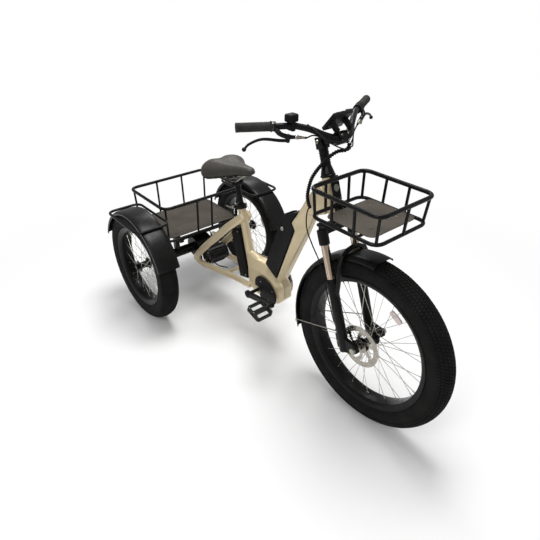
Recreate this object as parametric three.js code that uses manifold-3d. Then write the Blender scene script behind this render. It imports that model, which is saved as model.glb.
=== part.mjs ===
// An adult electric tricycle: step-through frame, fat tyres, sprung front fork, two wire baskets.
// Millimetres. +Z is up, the front of the tricycle faces -Y, and the rider's right side is -X.
import * as THREE from 'three';
import { mergeVertices } from 'three/addons/utils/BufferGeometryUtils.js';
import Module from 'manifold-3d';

const wasm = await Module();
wasm.setup();

// ---- driving dimensions ----
const WHEELBASE = 1210;
const HALF_TRACK = 353;
const FRONT_WHEEL = { radius: 371, rim: 285, half: 50, sides: 32, y: -WHEELBASE, x: 0 };
const REAR_WHEEL = { radius: 294, rim: 211, half: 50, sides: 28, y: 0 };
const SPOKES = 20;
const STEER_TOP = { y: -926, z: 983 };
const STEER_TILT = 20;
const HEAD_TUBE_LENGTH = 150;
const HEAD_TUBE_RADIUS = 25;
const STEERER_RADIUS = 14;
const FORK_LEG_X = 80;
const STANCHION_RADIUS = 16;
const LOWER_LEG_RADIUS = 21;
const SEAT_TUBE_TOP = { y: -392, z: 672 };
const SEAT_TUBE_TILT = 15.5;
const SEAT_TUBE_LENGTH = 355;
const SEATPOST_RADIUS = 13.5;
const CRANK_AXIS = { y: -577, z: 308 };
const CRANK_LENGTH = 172;
const CRANK_ANGLE = 10;
const PEDAL_X = 178;
const PEDAL_TILT = 18;
const CHAIN_X = 98;
const CHAINRING_RADIUS = 80.9;
const SPROCKET_RADIUS = 40.6;
const BAR_RADIUS = 11;
const GRIP_RADIUS = 15.8;
const REAR_BASKET = { x: 239, back: 287, front: -72, top: 598, bottom: 409, inset: 8 };
const FRONT_BASKET = { x: 146, back: -976, front: -1289, top: 984, bottom: 880, inset: 7 };
const RAIL_RADIUS = 8;
const WIRE_RADIUS = 5.5;
const REAR_FENDER = { inner: 299.5, outer: 303, half: 57 };
const FRONT_FENDER = { inner: 378, outer: 381, half: 55 };
const HOOP = { z: 563, half: 155, inner: 261, outer: 436 };
const GAP = 0.3;

// ---- finishes ----
const paint = (color, roughness, metalness) => new THREE.MeshStandardMaterial({ color, roughness, metalness });
const CHAMPAGNE = paint(0xcfc19a, 0.42, 0.25);
const BLACK_PAINT = paint(0x1b1b1a, 0.45, 0.2);
const BLACK_PLASTIC = paint(0x222221, 0.6, 0);
const FENDER_PLASTIC = paint(0x2d2d2b, 0.5, 0);
const FLOOR_PANEL = paint(0x54504a, 0.7, 0);
const TYRE = paint(0x242423, 0.85, 0);
const VINYL = paint(0x4a4742, 0.5, 0);
const GRIP_RUBBER = paint(0x3a3a39, 0.8, 0);
const CHROME = paint(0xd8d4cc, 0.12, 1);
const STEEL = paint(0x9c968a, 0.35, 0.9);
const SPOKE_STEEL = paint(0xbdb9b0, 0.3, 0.9);

// ---- small geometry tools ----
const rad = (degrees) => THREE.MathUtils.degToRad(degrees);
const v3 = (x, y, z) => new THREE.Vector3(x, y, z);

// Keeps only the corners and triangles of a closed mesh, and turns it to face out.
function tidy(geometry) {
  const bare = geometry.clone();
  for (const name of Object.keys(bare.attributes)) {
    if (name !== 'position') bare.deleteAttribute(name);
  }
  const merged = mergeVertices(bare, 1e-3);
  const place = merged.attributes.position;
  const source = merged.index.array;
  const kept = [];
  let volume = 0;
  const [a, b, c] = [v3(), v3(), v3()];
  for (let i = 0; i < source.length; i += 3) {
    const [p, q, r] = [source[i], source[i + 1], source[i + 2]];
    if (p === q || q === r || r === p) continue;
    kept.push(p, q, r);
    a.fromBufferAttribute(place, p);
    b.fromBufferAttribute(place, q);
    c.fromBufferAttribute(place, r);
    volume += a.dot(b.cross(c));
  }
  if (volume < 0) {
    for (let i = 0; i < kept.length; i += 3) {
      [kept[i], kept[i + 1]] = [kept[i + 1], kept[i]];
    }
  }
  merged.setIndex(kept);
  return merged;
}

function toManifold(geometry) {
  const closed = tidy(geometry);
  return new wasm.Manifold(new wasm.Mesh({
    numProp: 3,
    vertProperties: new Float32Array(closed.attributes.position.array),
    triVerts: new Uint32Array(closed.index.array),
  }));
}

function toGeometry(manifold) {
  const mesh = manifold.getMesh();
  const geometry = new THREE.BufferGeometry();
  geometry.setAttribute('position', new THREE.BufferAttribute(mesh.vertProperties, 3));
  geometry.setIndex(new THREE.BufferAttribute(mesh.triVerts, 1));
  return geometry;
}

function join(...pieces) {
  return toGeometry(pieces.map(toManifold).reduce((whole, piece) => whole.add(piece)));
}

function cut(whole, ...tools) {
  return toGeometry(tools.map(toManifold).reduce((rest, tool) => rest.subtract(tool), toManifold(whole)));
}

function block(x0, x1, y0, y1, z0, z1) {
  const box = new THREE.BoxGeometry(x1 - x0, y1 - y0, z1 - z0);
  return box.translate((x0 + x1) / 2, (y0 + y1) / 2, (z0 + z1) / 2);
}

// A round rod from one point to another.
function rod(from, to, radius, sides = 10, endRadius = radius) {
  const along = to.clone().sub(from);
  const cylinder = new THREE.CylinderGeometry(endRadius, radius, along.length(), sides);
  const turn = new THREE.Quaternion().setFromUnitVectors(v3(0, 1, 0), along.clone().normalize());
  const middle = from.clone().add(to).multiplyScalar(0.5);
  return cylinder.applyMatrix4(new THREE.Matrix4().compose(middle, turn, v3(1, 1, 1)));
}

// The cutter for a round hole whose flats stand at the radius given.
function hole(from, to, radius, sides = 12) {
  return rod(from, to, radius / Math.cos(Math.PI / sides), sides);
}

// A rod lying along X.
function axleRod(x0, x1, y, z, radius, sides = 16) {
  return rod(v3(x0, y, z), v3(x1, y, z), radius, sides);
}

// A side-view outline of [y, z] corners, given its thickness along X.
function slab(outline, x0, x1) {
  const shape = new THREE.Shape(outline.map(([y, z]) => new THREE.Vector2(y, z)));
  const solid = new THREE.ExtrudeGeometry(shape, { depth: x1 - x0, bevelEnabled: false });
  const sideView = new THREE.Matrix4().makeBasis(v3(0, 1, 0), v3(0, 0, 1), v3(1, 0, 0));
  return solid.applyMatrix4(sideView).translate(x0, 0, 0);
}

// A ring or disc turned about the X axis from [radius, x] corners.
function turned(profile, sides, y = 0, z = 0, x = 0) {
  const points = profile.map(([r, along]) => new THREE.Vector2(r, along));
  return new THREE.LatheGeometry(points, sides).rotateZ(-Math.PI / 2).translate(x, y, z);
}

// A turned solid about Z from [radius, z] corners.
function turnedUp(profile, sides) {
  const points = profile.map(([r, along]) => new THREE.Vector2(r, along));
  return new THREE.LatheGeometry(points, sides).rotateX(Math.PI / 2);
}

// A route through a list of points, one step to each, so that a swept tube bends exactly there.
class Route extends THREE.Curve {
  constructor(points, closed = false) {
    super();
    this.points = points;
    this.closed = closed;
    this.count = closed ? points.length : points.length - 1;
  }

  at(index) {
    const last = this.points.length;
    return this.points[this.closed ? (index + last) % last : Math.min(Math.max(index, 0), last - 1)];
  }

  getPoint(t) {
    const index = Math.round(t * this.count);
    return this.at(index).clone();
  }

  getPointAt(t) {
    return this.getPoint(t);
  }

  getTangent(t) {
    const index = Math.round(t * this.count);
    return this.at(index + 1).clone().sub(this.at(index - 1)).normalize();
  }

  getTangentAt(t) {
    return this.getTangent(t);
  }
}

// Rounds the corners of a list of points, each with an arc of a few steps.
function rounded(corners, radius, closed, steps = 3) {
  const count = corners.length;
  const points = [];
  corners.forEach((corner, i) => {
    if (!closed && (i === 0 || i === count - 1)) {
      points.push(corner);
      return;
    }
    const before = corners[(i - 1 + count) % count].clone().sub(corner).normalize();
    const after = corners[(i + 1) % count].clone().sub(corner).normalize();
    const start = corner.clone().addScaledVector(before, radius);
    const end = corner.clone().addScaledVector(after, radius);
    const bend = new THREE.QuadraticBezierCurve3(start, corner, end);
    points.push(...bend.getPoints(steps));
  });
  return points;
}

function roundSection(radius, sides) {
  const ring = [];
  for (let i = 0; i < sides; i += 1) {
    const angle = (2 * Math.PI * i) / sides;
    ring.push(new THREE.Vector2(radius * Math.cos(angle), radius * Math.sin(angle)));
  }
  return new THREE.Shape(ring);
}

// A solid tube through points; a closed one is a loop.
function pipe(points, radius, sides = 6) {
  const route = new Route(points);
  const options = { steps: route.count, bevelEnabled: false, extrudePath: route };
  return new THREE.ExtrudeGeometry(roundSection(radius, sides), options);
}

function loop(points, radius, sides = 8) {
  return new THREE.TubeGeometry(new Route(points, true), points.length, radius, sides, true);
}

function smooth(points, steps) {
  return new THREE.CatmullRomCurve3(points).getSpacedPoints(steps);
}

// Skins a row of equal closed sections, each a list of points, and closes both ends.
function loft(sections) {
  const size = sections[0].length;
  const corners = sections.flat().flatMap((point) => [point.x, point.y, point.z]);
  const index = [];
  for (let s = 0; s < sections.length - 1; s += 1) {
    for (let i = 0; i < size; i += 1) {
      const a = s * size + i;
      const b = s * size + ((i + 1) % size);
      index.push(a, b, b + size, a, b + size, a + size);
    }
  }
  const last = (sections.length - 1) * size;
  for (let i = 1; i < size - 1; i += 1) {
    index.push(0, i + 1, i, last, last + i, last + i + 1);
  }
  const geometry = new THREE.BufferGeometry();
  geometry.setAttribute('position', new THREE.Float32BufferAttribute(corners, 3));
  geometry.setIndex(index);
  return geometry;
}

// A flat-sided bar through points; it is tall across its route in the side view, and narrow along X.
function flatBar(stations) {
  const chamfer = 0.55;
  const outline = [[1, chamfer], [chamfer, 1], [-chamfer, 1], [-1, chamfer]];
  const ring = [...outline, ...outline.map(([a, b]) => [-a, -b])];
  return loft(stations.map(({ x, y, z, halfX, half }, i) => {
    const before = stations[Math.max(i - 1, 0)];
    const after = stations[Math.min(i + 1, stations.length - 1)];
    const across = v3(0, -(after.z - before.z), after.y - before.y).normalize();
    return ring.map(([a, b]) => v3(x + a * halfX, y, z).addScaledVector(across, b * half));
  }));
}

// A channel profile of [x, radius] corners bent round an axle that lies along X.
function bentRound(profile, fromDegrees, toDegrees, steps, y, z, x = 0) {
  const shape = new THREE.Shape(profile.map(([across, r]) => new THREE.Vector2(across, r)));
  const depth = rad(toDegrees - fromDegrees);
  const strip = new THREE.ExtrudeGeometry(shape, { depth, steps, bevelEnabled: false });
  const place = strip.attributes.position;
  for (let i = 0; i < place.count; i += 1) {
    const angle = place.getZ(i) + rad(fromDegrees);
    const r = place.getY(i);
    place.setXYZ(i, place.getX(i) + x, y + r * Math.cos(angle), z + r * Math.sin(angle));
  }
  return strip;
}

function mirrored(geometry) {
  return geometry.clone().applyMatrix4(new THREE.Matrix4().makeScale(-1, 1, 1));
}

// ---- groups that carry their own axes ----
const tricycle = new THREE.Group();
const steering = new THREE.Group();
steering.position.set(0, STEER_TOP.y, STEER_TOP.z);
steering.rotation.x = -rad(STEER_TILT);
const seatLine = new THREE.Group();
seatLine.position.set(0, SEAT_TUBE_TOP.y, SEAT_TUBE_TOP.z);
seatLine.rotation.x = -rad(SEAT_TUBE_TILT);
tricycle.add(steering, seatLine);
steering.updateMatrixWorld(true);
seatLine.updateMatrixWorld(true);
const FORK_AXLE = steering.worldToLocal(v3(0, -WHEELBASE, FRONT_WHEEL.radius));

function add(group, name, geometry, material) {
  const solid = tidy(geometry);
  solid.computeVertexNormals();
  const mesh = new THREE.Mesh(solid, material);
  mesh.name = name;
  group.add(mesh);
}

// ---- wheels ----
// The open-bellied ring of a tyre, from [share of its depth, share of its half width] corners.
function tyre({ radius, rim, half, sides }) {
  const deep = radius - rim;
  const outside = [[0.01, -0.76], [0.4, -1], [0.84, -0.78], [1, -0.28]];
  const inside = [[0.92, 0.24], [0.6, 0.84], [0.04, 0.62]];
  const mirror = (corners) => corners.map(([out, side]) => [out, -side]).reverse();
  const farInside = inside.map(([out, side]) => [out, -side]);
  const ring = [...outside, ...mirror(outside), ...inside.slice().reverse(), ...farInside];
  return turned([...ring, ring[0]].map(([out, side]) => [rim + out * deep, side * half]), sides);
}

// A shallow channel that holds the tyre.
function rim({ rim: edge, half, sides }) {
  const bed = edge - 24;
  const wide = half * 0.8;
  const side = [[bed, -wide + 10], [edge, -wide], [bed + 6, -wide + 13]];
  const other = side.map(([r, x]) => [r, -x]).reverse();
  return turned([...side, ...other, side[0]], sides);
}

// Hub shell with its two flanges and the laced spokes that hang from them.
function hub({ rim: edge }, { inner, outer, boss, bore, flange }) {
  const body = turned([
    [0, inner], [boss, inner], [boss, -flange - 3], [29, -flange - 3], [29, -flange], [17, -flange + 4],
    [17, flange - 4], [29, flange], [29, flange + 3], [boss, flange + 3], [boss, outer], [0, outer],
  ], 14);
  const end = edge - 27;
  const spokes = [];
  for (let i = 0; i < SPOKES; i += 1) {
    const side = i % 2 ? 1 : -1;
    const trailing = Math.floor(i / 2) % 2;
    const out = (i * 2 * Math.PI) / SPOKES;
    const lean = (trailing ? 1 : -1) * rad(62);
    const start = side * (flange + (trailing ? 0.1 : 2.9));
    const from = v3(start, 25 * Math.cos(out + lean), 25 * Math.sin(out + lean));
    const to = v3(side * 8, end * Math.cos(out), end * Math.sin(out));
    spokes.push(rod(from, to, 1.3, 3));
  }
  const whole = join(body, ...spokes);
  return bore ? cut(whole, axleRod(inner - 1, outer + 1, 0, 0, bore, 12)) : whole;
}

function atWheel(geometry, wheel, x) {
  return geometry.translate(x, wheel.y, wheel.radius);
}

add(tricycle, 'front_tyre', atWheel(tyre(FRONT_WHEEL), FRONT_WHEEL, 0), TYRE);
add(tricycle, 'front_rim', atWheel(rim(FRONT_WHEEL), FRONT_WHEEL, 0), BLACK_PAINT);
const frontHub = hub(FRONT_WHEEL, { inner: -50, outer: 50, boss: 20, bore: 7, flange: 33 });
add(tricycle, 'front_hub_and_spokes', atWheel(frontHub, FRONT_WHEEL, 0), SPOKE_STEEL);
for (const [side, name] of [[-1, 'right'], [1, 'left']]) {
  const x = side * HALF_TRACK;
  add(tricycle, `rear_tyre_${name}`, atWheel(tyre(REAR_WHEEL), REAR_WHEEL, x), TYRE);
  add(tricycle, `rear_rim_${name}`, atWheel(rim(REAR_WHEEL), REAR_WHEEL, x), BLACK_PAINT);
  const shell = hub(REAR_WHEEL, side < 0
    ? { inner: -46, outer: 62, boss: 17, bore: 0, flange: 27 }
    : { inner: -62, outer: 46, boss: 17, bore: 0, flange: 27 });
  add(tricycle, `rear_hub_and_spokes_${name}`, atWheel(shell, REAR_WHEEL, x), SPOKE_STEEL);
}

// Points along an arc about the origin.
function arcPoints(radius, from, to, steps) {
  const points = [];
  for (let i = 0; i <= steps; i += 1) {
    const angle = from + ((to - from) * i) / steps;
    points.push(new THREE.Vector2(radius * Math.cos(angle), radius * Math.sin(angle)));
  }
  return points;
}

// Brake disc: an outer band carried on arms from a bolted centre.
function brakeDisc() {
  const disc = new THREE.Shape(arcPoints(90, 0, rad(348), 29));
  for (let i = 0; i < 6; i += 1) {
    const [from, to] = [rad(60 * i), rad(60 * i + 44)];
    disc.holes.push(new THREE.Path([...arcPoints(72, from, to, 3), ...arcPoints(34, to, from, 2)]));
  }
  disc.holes.push(new THREE.Path(arcPoints(14, rad(324), 0, 9)));
  return new THREE.ExtrudeGeometry(disc, { depth: 2, bevelEnabled: false }).rotateY(Math.PI / 2);
}
add(tricycle, 'front_brake_disc', atWheel(brakeDisc(), FRONT_WHEEL, -52.6), STEEL);

// ---- main frame ----
// One section across the down tube: rear edge, side ridge and narrower front face.
function tubeSection(rear, front, rearHalf, frontHalf) {
  const ridge = [rear[0] + 0.3 * (front[0] - rear[0]), rear[1] + 0.3 * (front[1] - rear[1])];
  return [
    v3(-rearHalf, ...rear), v3(1 - rearHalf, ...ridge), v3(-frontHalf, ...front),
    v3(frontHalf, ...front), v3(rearHalf - 1, ...ridge), v3(rearHalf, ...rear),
  ];
}

function mainFrame() {
  const downTube = loft([
    tubeSection([-655, 372], [-690, 358], 37, 15),
    tubeSection([-692, 417], [-713, 408], 37, 15),
    tubeSection([-798, 710], [-840, 692], 37, 15),
    tubeSection([-776, 738], [-860, 742], 36, 15),
    tubeSection([-808, 790], [-886, 806], 34, 16),
    tubeSection([-846, 863], [-945, 833], 30, 20),
    tubeSection([-901, 955], [-950, 900], 24, 23.5),
  ]);
  const core = [
    [-484, 335], [-498, 286], [-540, 266], [-690, 270], [-736, 322], [-732, 384], [-692, 416],
    [-650, 434], [-598, 450], [-540, 446], [-462, 440],
  ];
  const cheek = [
    [-500, 345], [-512, 300], [-546, 282], [-668, 288], [-700, 326], [-692, 378], [-668, 396],
    [-640, 404], [-598, 408], [-545, 404], [-498, 388],
  ];
  const layer = (outline, x) => outline.map(([y, z]) => v3(x, y, z));
  const housing = loft([layer(cheek, -47), layer(core, -22), layer(core, 22), layer(cheek, 47)]);
  const brace = rod(v3(0, -458, 438), v3(0, -640, 408), 24, 12);
  const seatEnd = v3(0, 0, -SEAT_TUBE_LENGTH).applyMatrix4(seatLine.matrixWorld);
  const seatTop = v3(0, 0, 0).applyMatrix4(seatLine.matrixWorld);
  const seatTube = rod(seatEnd, seatTop, 24, 20, 19);
  const headTop = v3(0, 0, 0).applyMatrix4(steering.matrixWorld);
  const headEnd = v3(0, 0, -HEAD_TUBE_LENGTH).applyMatrix4(steering.matrixWorld);
  const headTube = rod(headEnd, headTop, HEAD_TUBE_RADIUS, 14);
  const shell = axleRod(-51, 51, CRANK_AXIS.y, CRANK_AXIS.z, 26, 14);
  const steererBore = hole(
    v3(0, 0, -HEAD_TUBE_LENGTH - 40).applyMatrix4(steering.matrixWorld),
    v3(0, 0, 30).applyMatrix4(steering.matrixWorld), STEERER_RADIUS + 2, 12);
  const seatBore = hole(
    v3(0, 0, -265).applyMatrix4(seatLine.matrixWorld),
    v3(0, 0, 20).applyMatrix4(seatLine.matrixWorld), SEATPOST_RADIUS + GAP, 12);
  const spindleBore = axleRod(-60, 60, CRANK_AXIS.y, CRANK_AXIS.z, 10, 12);
  return cut(join(downTube, housing, brace, seatTube, headTube, shell), steererBore, seatBore, spindleBore);
}
add(tricycle, 'main_frame', mainFrame(), CHAMPAGNE);

// ---- rear triangle: a bent stay each side, joined by a cross tube ----
function rearTriangle() {
  const upper = [
    { x: -20, y: -428, z: 634, halfX: 9, half: 18 },
    { x: -32, y: -396, z: 600, halfX: 11, half: 20 },
    { x: -52, y: -345, z: 552, halfX: 11, half: 20 },
    { x: -74, y: -205, z: 412, halfX: 10, half: 19 },
    { x: -78, y: -92, z: 298, halfX: 10, half: 18 },
  ];
  const lower = [
    { x: -78, y: -86, z: 262, halfX: 10, half: 16 },
    { x: -78, y: -140, z: 260, halfX: 10, half: 17 },
    { x: -72, y: -230, z: 272, halfX: 10, half: 17 },
    { x: -62, y: -400, z: 297, halfX: 10, half: 16 },
    { x: -58, y: -525, z: 308, halfX: 10, half: 14 },
  ];
  const dropout = axleRod(-88, -68, -86, 276, 25, 14);
  const right = join(flatBar(upper), flatBar(lower), dropout);
  const crossTube = axleRod(-66, 66, -335, 288, 11, 12);
  const seatEnd = v3(0, 0, -SEAT_TUBE_LENGTH).applyMatrix4(seatLine.matrixWorld);
  const seatTop = v3(0, 0, 0).applyMatrix4(seatLine.matrixWorld);
  return cut(join(right, mirrored(right), crossTube), rod(seatEnd, seatTop, 25.6, 12, 20.2));
}
add(tricycle, 'rear_triangle', rearTriangle(), CHAMPAGNE);

// ---- battery on the down tube ----
function battery() {
  const outline = [
    [-687, 421], [-793, 712], [-770, 738], [-802, 786], [-801, 791], [-786, 788], [-748, 764],
    [-714, 736], [-701, 710], [-697, 686], [-613, 465], [-622, 458],
  ];
  return slab(outline, -36, 36);
}
add(tricycle, 'battery', battery(), BLACK_PLASTIC);

// ---- crankset ----
const crankReach = {
  y: -CRANK_LENGTH * Math.cos(rad(CRANK_ANGLE)),
  z: CRANK_LENGTH * Math.sin(rad(CRANK_ANGLE)),
};

// An arm from the spindle to a pedal pin; side is -1 on the right, 1 on the left.
function crankArm(side) {
  const x0 = side < 0 ? -118 : 104;
  const x1 = x0 + 14;
  const end = { y: CRANK_AXIS.y - side * crankReach.y, z: CRANK_AXIS.z - side * crankReach.z };
  const arm = loft([0, 1].map((t) => {
    const half = 15 - 3 * t;
    const y = CRANK_AXIS.y + t * (end.y - CRANK_AXIS.y);
    const z = CRANK_AXIS.z + t * (end.z - CRANK_AXIS.z);
    return [v3(x0, y, z - half), v3(x1, y, z - half), v3(x1, y, z + half), v3(x0, y, z + half)];
  }));
  const boss = axleRod(x0, x1, CRANK_AXIS.y, CRANK_AXIS.z, 19, 14);
  const tip = axleRod(x0, x1, end.y, end.z, 14, 12);
  const pin = axleRod(side < 0 ? -PEDAL_X + 8 : x1 - 2, side < 0 ? x0 + 2 : PEDAL_X - 8, end.y, end.z, 5, 10);
  return { arm: join(arm, boss, tip, pin), end };
}
const rightArm = crankArm(-1);
const leftArm = crankArm(1);
// The right arm carries the spindle, which runs through the frame to the left arm.
const spindle = axleRod(-105, 103.6, CRANK_AXIS.y, CRANK_AXIS.z, 8.5, 12);
add(tricycle, 'crank_arm_right', join(rightArm.arm, spindle), BLACK_PAINT);

function chainringArm() {
  const ring = axleRod(CHAIN_X - 1, CHAIN_X + 1, CRANK_AXIS.y, CRANK_AXIS.z, CHAINRING_RADIUS + 2.5, 28);
  const spider = axleRod(CHAIN_X, 106, CRANK_AXIS.y, CRANK_AXIS.z, 30, 14);
  const bore = axleRod(CHAIN_X - 9, 103.9, CRANK_AXIS.y, CRANK_AXIS.z, 8.8, 12);
  return cut(join(leftArm.arm, ring, spider), bore);
}
add(tricycle, 'crank_arm_left', chainringArm(), BLACK_PAINT);

// A platform pedal with two windows, tipped nose down on its pin.
function pedal(side, end) {
  const deck = cut(
    block(-44, 44, -43, 43, -10, 10),
    block(-33, 33, -35, -9, -20, 20),
    block(-33, 33, 9, 35, -20, 20),
    ...[-1, 1].flatMap((a) => [-1, 1].map((b) =>
      block(-12, 12, -12, 12, -20, 20).rotateZ(Math.PI / 4).translate(a * 48, b * 47, 0))),
    axleRod(-60, 60, 0, 0, 5.5, 10));
  return deck.rotateX(rad(PEDAL_TILT)).translate(side * PEDAL_X, end.y, end.z);
}
add(tricycle, 'pedal_right', pedal(-1, rightArm.end), BLACK_PLASTIC);
add(tricycle, 'pedal_left', pedal(1, leftArm.end), BLACK_PLASTIC);

// ---- chain to the rear axle ----
const ARC_STEPS = 10;
// The outline of a belt round both pulleys, grown or shrunk from the pitch line.
function beltOutline(grow) {
  const front = { ...CRANK_AXIS, r: CHAINRING_RADIUS + grow };
  const back = { y: 0, z: REAR_WHEEL.radius, r: SPROCKET_RADIUS + grow };
  const span = Math.hypot(back.y - front.y, back.z - front.z);
  const lie = Math.atan2(back.z - front.z, back.y - front.y);
  const wrap = Math.acos((front.r - back.r) / span);
  const arc = (pulley, from, to, steps) => {
    const points = [];
    for (let i = 0; i <= steps; i += 1) {
      const angle = from + ((to - from) * i) / steps;
      points.push([pulley.y + pulley.r * Math.cos(angle), pulley.z + pulley.r * Math.sin(angle)]);
    }
    return points;
  };
  return [
    ...arc(front, lie + wrap, lie + 2 * Math.PI - wrap, ARC_STEPS),
    ...arc(back, lie - wrap, lie + wrap, ARC_STEPS - 4),
  ];
}

function chain() {
  const toPath = (outline) => outline.map(([y, z]) => new THREE.Vector2(y, z));
  const shape = new THREE.Shape(toPath(beltOutline(4.2)));
  shape.holes.push(new THREE.Path(toPath(beltOutline(-4.2))));
  const sideView = new THREE.Matrix4().makeBasis(v3(0, 1, 0), v3(0, 0, 1), v3(1, 0, 0));
  const plate = (x) => new THREE.ExtrudeGeometry(shape, { depth: 1.4, bevelEnabled: false })
    .applyMatrix4(sideView).translate(x, 0, 0);
  const pitchLine = beltOutline(0);
  const [runEnd, runStart] = [pitchLine[0], pitchLine[pitchLine.length - 1]];
  const [lowStart, lowEnd] = [pitchLine[ARC_STEPS], pitchLine[ARC_STEPS + 1]];
  const pins = [];
  for (const t of [0.2, 0.4, 0.6, 0.8]) {
    for (const [a, b] of [[runStart, runEnd], [lowStart, lowEnd]]) {
      const y = a[0] + t * (b[0] - a[0]);
      const z = a[1] + t * (b[1] - a[1]);
      pins.push(axleRod(CHAIN_X - 2.6, CHAIN_X + 2.6, y, z, 2, 6));
    }
  }
  return join(plate(CHAIN_X - 2.8), plate(CHAIN_X + 1.4), ...pins);
}
add(tricycle, 'chain', chain(), STEEL);
const sprocket = cut(
  axleRod(CHAIN_X - 1, CHAIN_X + 1, 0, REAR_WHEEL.radius, SPROCKET_RADIUS + 2.5, 20),
  axleRod(CHAIN_X - 9, CHAIN_X + 9, 0, REAR_WHEEL.radius, 27.5, 16));
add(tricycle, 'rear_sprocket', sprocket, STEEL);

// The rounded cover over the front of the crank housing.
function crankCover() {
  const cover = new THREE.Shape();
  cover.absellipse(0, 0, 80, 60, 0, 2 * Math.PI, false, 0);
  const plate = new THREE.ExtrudeGeometry(cover, { depth: 8, bevelEnabled: false, curveSegments: 16 });
  const sideView = new THREE.Matrix4().makeBasis(v3(0, 1, 0), v3(0, 0, 1), v3(1, 0, 0));
  plate.rotateZ(rad(30)).applyMatrix4(sideView).translate(-52.3 - 8, -640, 336);
  const hole = axleRod(-80, -40, CRANK_AXIS.y, CRANK_AXIS.z, 27, 14);
  return cut(plate, hole);
}
add(tricycle, 'crank_cover', crankCover(), BLACK_PLASTIC);

// ---- motor, controller and rear axle ----
function motor() {
  const at = { y: -150, z: 303 };
  const ribs = [];
  for (let i = 0; i < 12; i += 1) {
    const angle = (i * 2 * Math.PI) / 12;
    ribs.push(block(-42, 42, -2, 2, 40, 50).rotateX(angle).translate(0, at.y, at.z));
  }
  const can = axleRod(-58, 58, at.y, at.z, 44, 16);
  const arm = block(-20, 20, -120, -26.6, 284, 306);
  return join(can, arm, ...ribs);
}
add(tricycle, 'motor', motor(), BLACK_PAINT);

const controller = block(-27, 27, 25, 92, -372, -110);
add(seatLine, 'controller_box', controller, BLACK_PLASTIC);

function axleHousing() {
  const z = REAR_WHEEL.radius;
  const tube = axleRod(-290, 290, 0, z, 26, 16);
  const gearCase = axleRod(-48, 48, 0, z, 60, 16);
  const plate = slab([[20, 316], [-60, 300], [-104, 286], [-104, 256], [-60, 250], [20, 270]], -66, -58);
  return cut(join(tube, gearCase, plate, mirrored(plate)), block(-21, 21, -80, -26, 283, 307));
}
add(tricycle, 'rear_axle_housing', axleHousing(), BLACK_PAINT);

function rackFrame() {
  const rails = [-150, 150].map((x) => block(x - 11, x + 11, -66, 276, 382, 400.4));
  const crosses = [-40, 150, 250].map((y) => block(-140, 140, y - 9, y + 9, 384, 399));
  const posts = [-150, 150].map((x) => block(x - 11, x + 11, -16, 16, 320.4, 384));
  return join(...rails, ...crosses, ...posts);
}
add(tricycle, 'rack_frame', rackFrame(), BLACK_PAINT);

// ---- baskets ----
function railCorners({ x, back, front }, inset, z) {
  return [
    v3(-x + inset, back - inset, z), v3(-x + inset, front + inset, z),
    v3(x - inset, front + inset, z), v3(x - inset, back - inset, z),
  ];
}

// Two rounded rails joined by upright wires, with cross wires that carry the floor.
function basket(size, cornerRadius, frontWires, backWires, sideWires, floorWires) {
  const { x, back, front, top, bottom, inset } = size;
  const topRail = loop(rounded(railCorners(size, 0, top), cornerRadius, true), RAIL_RADIUS, 6);
  const lowRail = loop(rounded(railCorners(size, inset, bottom), cornerRadius, true), RAIL_RADIUS - 1, 6);
  const upright = (xTop, yTop, xLow, yLow) => rod(v3(xTop, yTop, top), v3(xLow, yLow, bottom), WIRE_RADIUS, 5);
  const wires = [];
  for (const at of frontWires) {
    wires.push(upright(at, front, at, front + inset));
  }
  for (const at of backWires) {
    wires.push(upright(at, back, at, back - inset));
  }
  for (const at of sideWires) {
    wires.push(upright(-x, at, -x + inset, at), upright(x, at, x - inset, at));
  }
  const bend = cornerRadius * 0.27;
  for (const [sx, y, sy] of [[-1, back, -1], [1, back, -1], [-1, front, 1], [1, front, 1]]) {
    wires.push(upright(sx * (x - bend), y + sy * bend, sx * (x - inset - bend), y + sy * (inset + bend)));
  }
  for (const y of floorWires) {
    wires.push(rod(v3(-x + inset, y, bottom + 3), v3(x - inset, y, bottom + 3), WIRE_RADIUS, 5));
  }
  return join(topRail, lowRail, ...wires);
}
const rearWires = [-80, 80];
add(tricycle, 'rear_basket', basket(REAR_BASKET, 45, [-45, 45], rearWires, [], [10, 220]), BLACK_PAINT);

function roundedPanel(x, y0, y1, z0, z1, radius) {
  const panel = new THREE.Shape();
  panel.moveTo(-x + radius, y0);
  panel.lineTo(x - radius, y0);
  panel.absarc(x - radius, y0 + radius, radius, -Math.PI / 2, 0);
  panel.absarc(x - radius, y1 - radius, radius, 0, Math.PI / 2);
  panel.absarc(-x + radius, y1 - radius, radius, Math.PI / 2, Math.PI);
  panel.absarc(-x + radius, y0 + radius, radius, Math.PI, Math.PI * 1.5);
  const options = { depth: z1 - z0, bevelEnabled: false, curveSegments: 3 };
  return new THREE.ExtrudeGeometry(panel, options).translate(0, 0, z0);
}
const drain = (x, y, z) => rod(v3(x, y, z - 10), v3(x, y, z + 10), 4, 6);
const rearFloor = cut(
  roundedPanel(221, -55, 271, 418, 422, 40), drain(-160, -25, 420), drain(160, -25, 420),
  drain(-160, 240, 420), drain(160, 240, 420));
add(tricycle, 'rear_basket_floor', rearFloor, FLOOR_PANEL);

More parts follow.
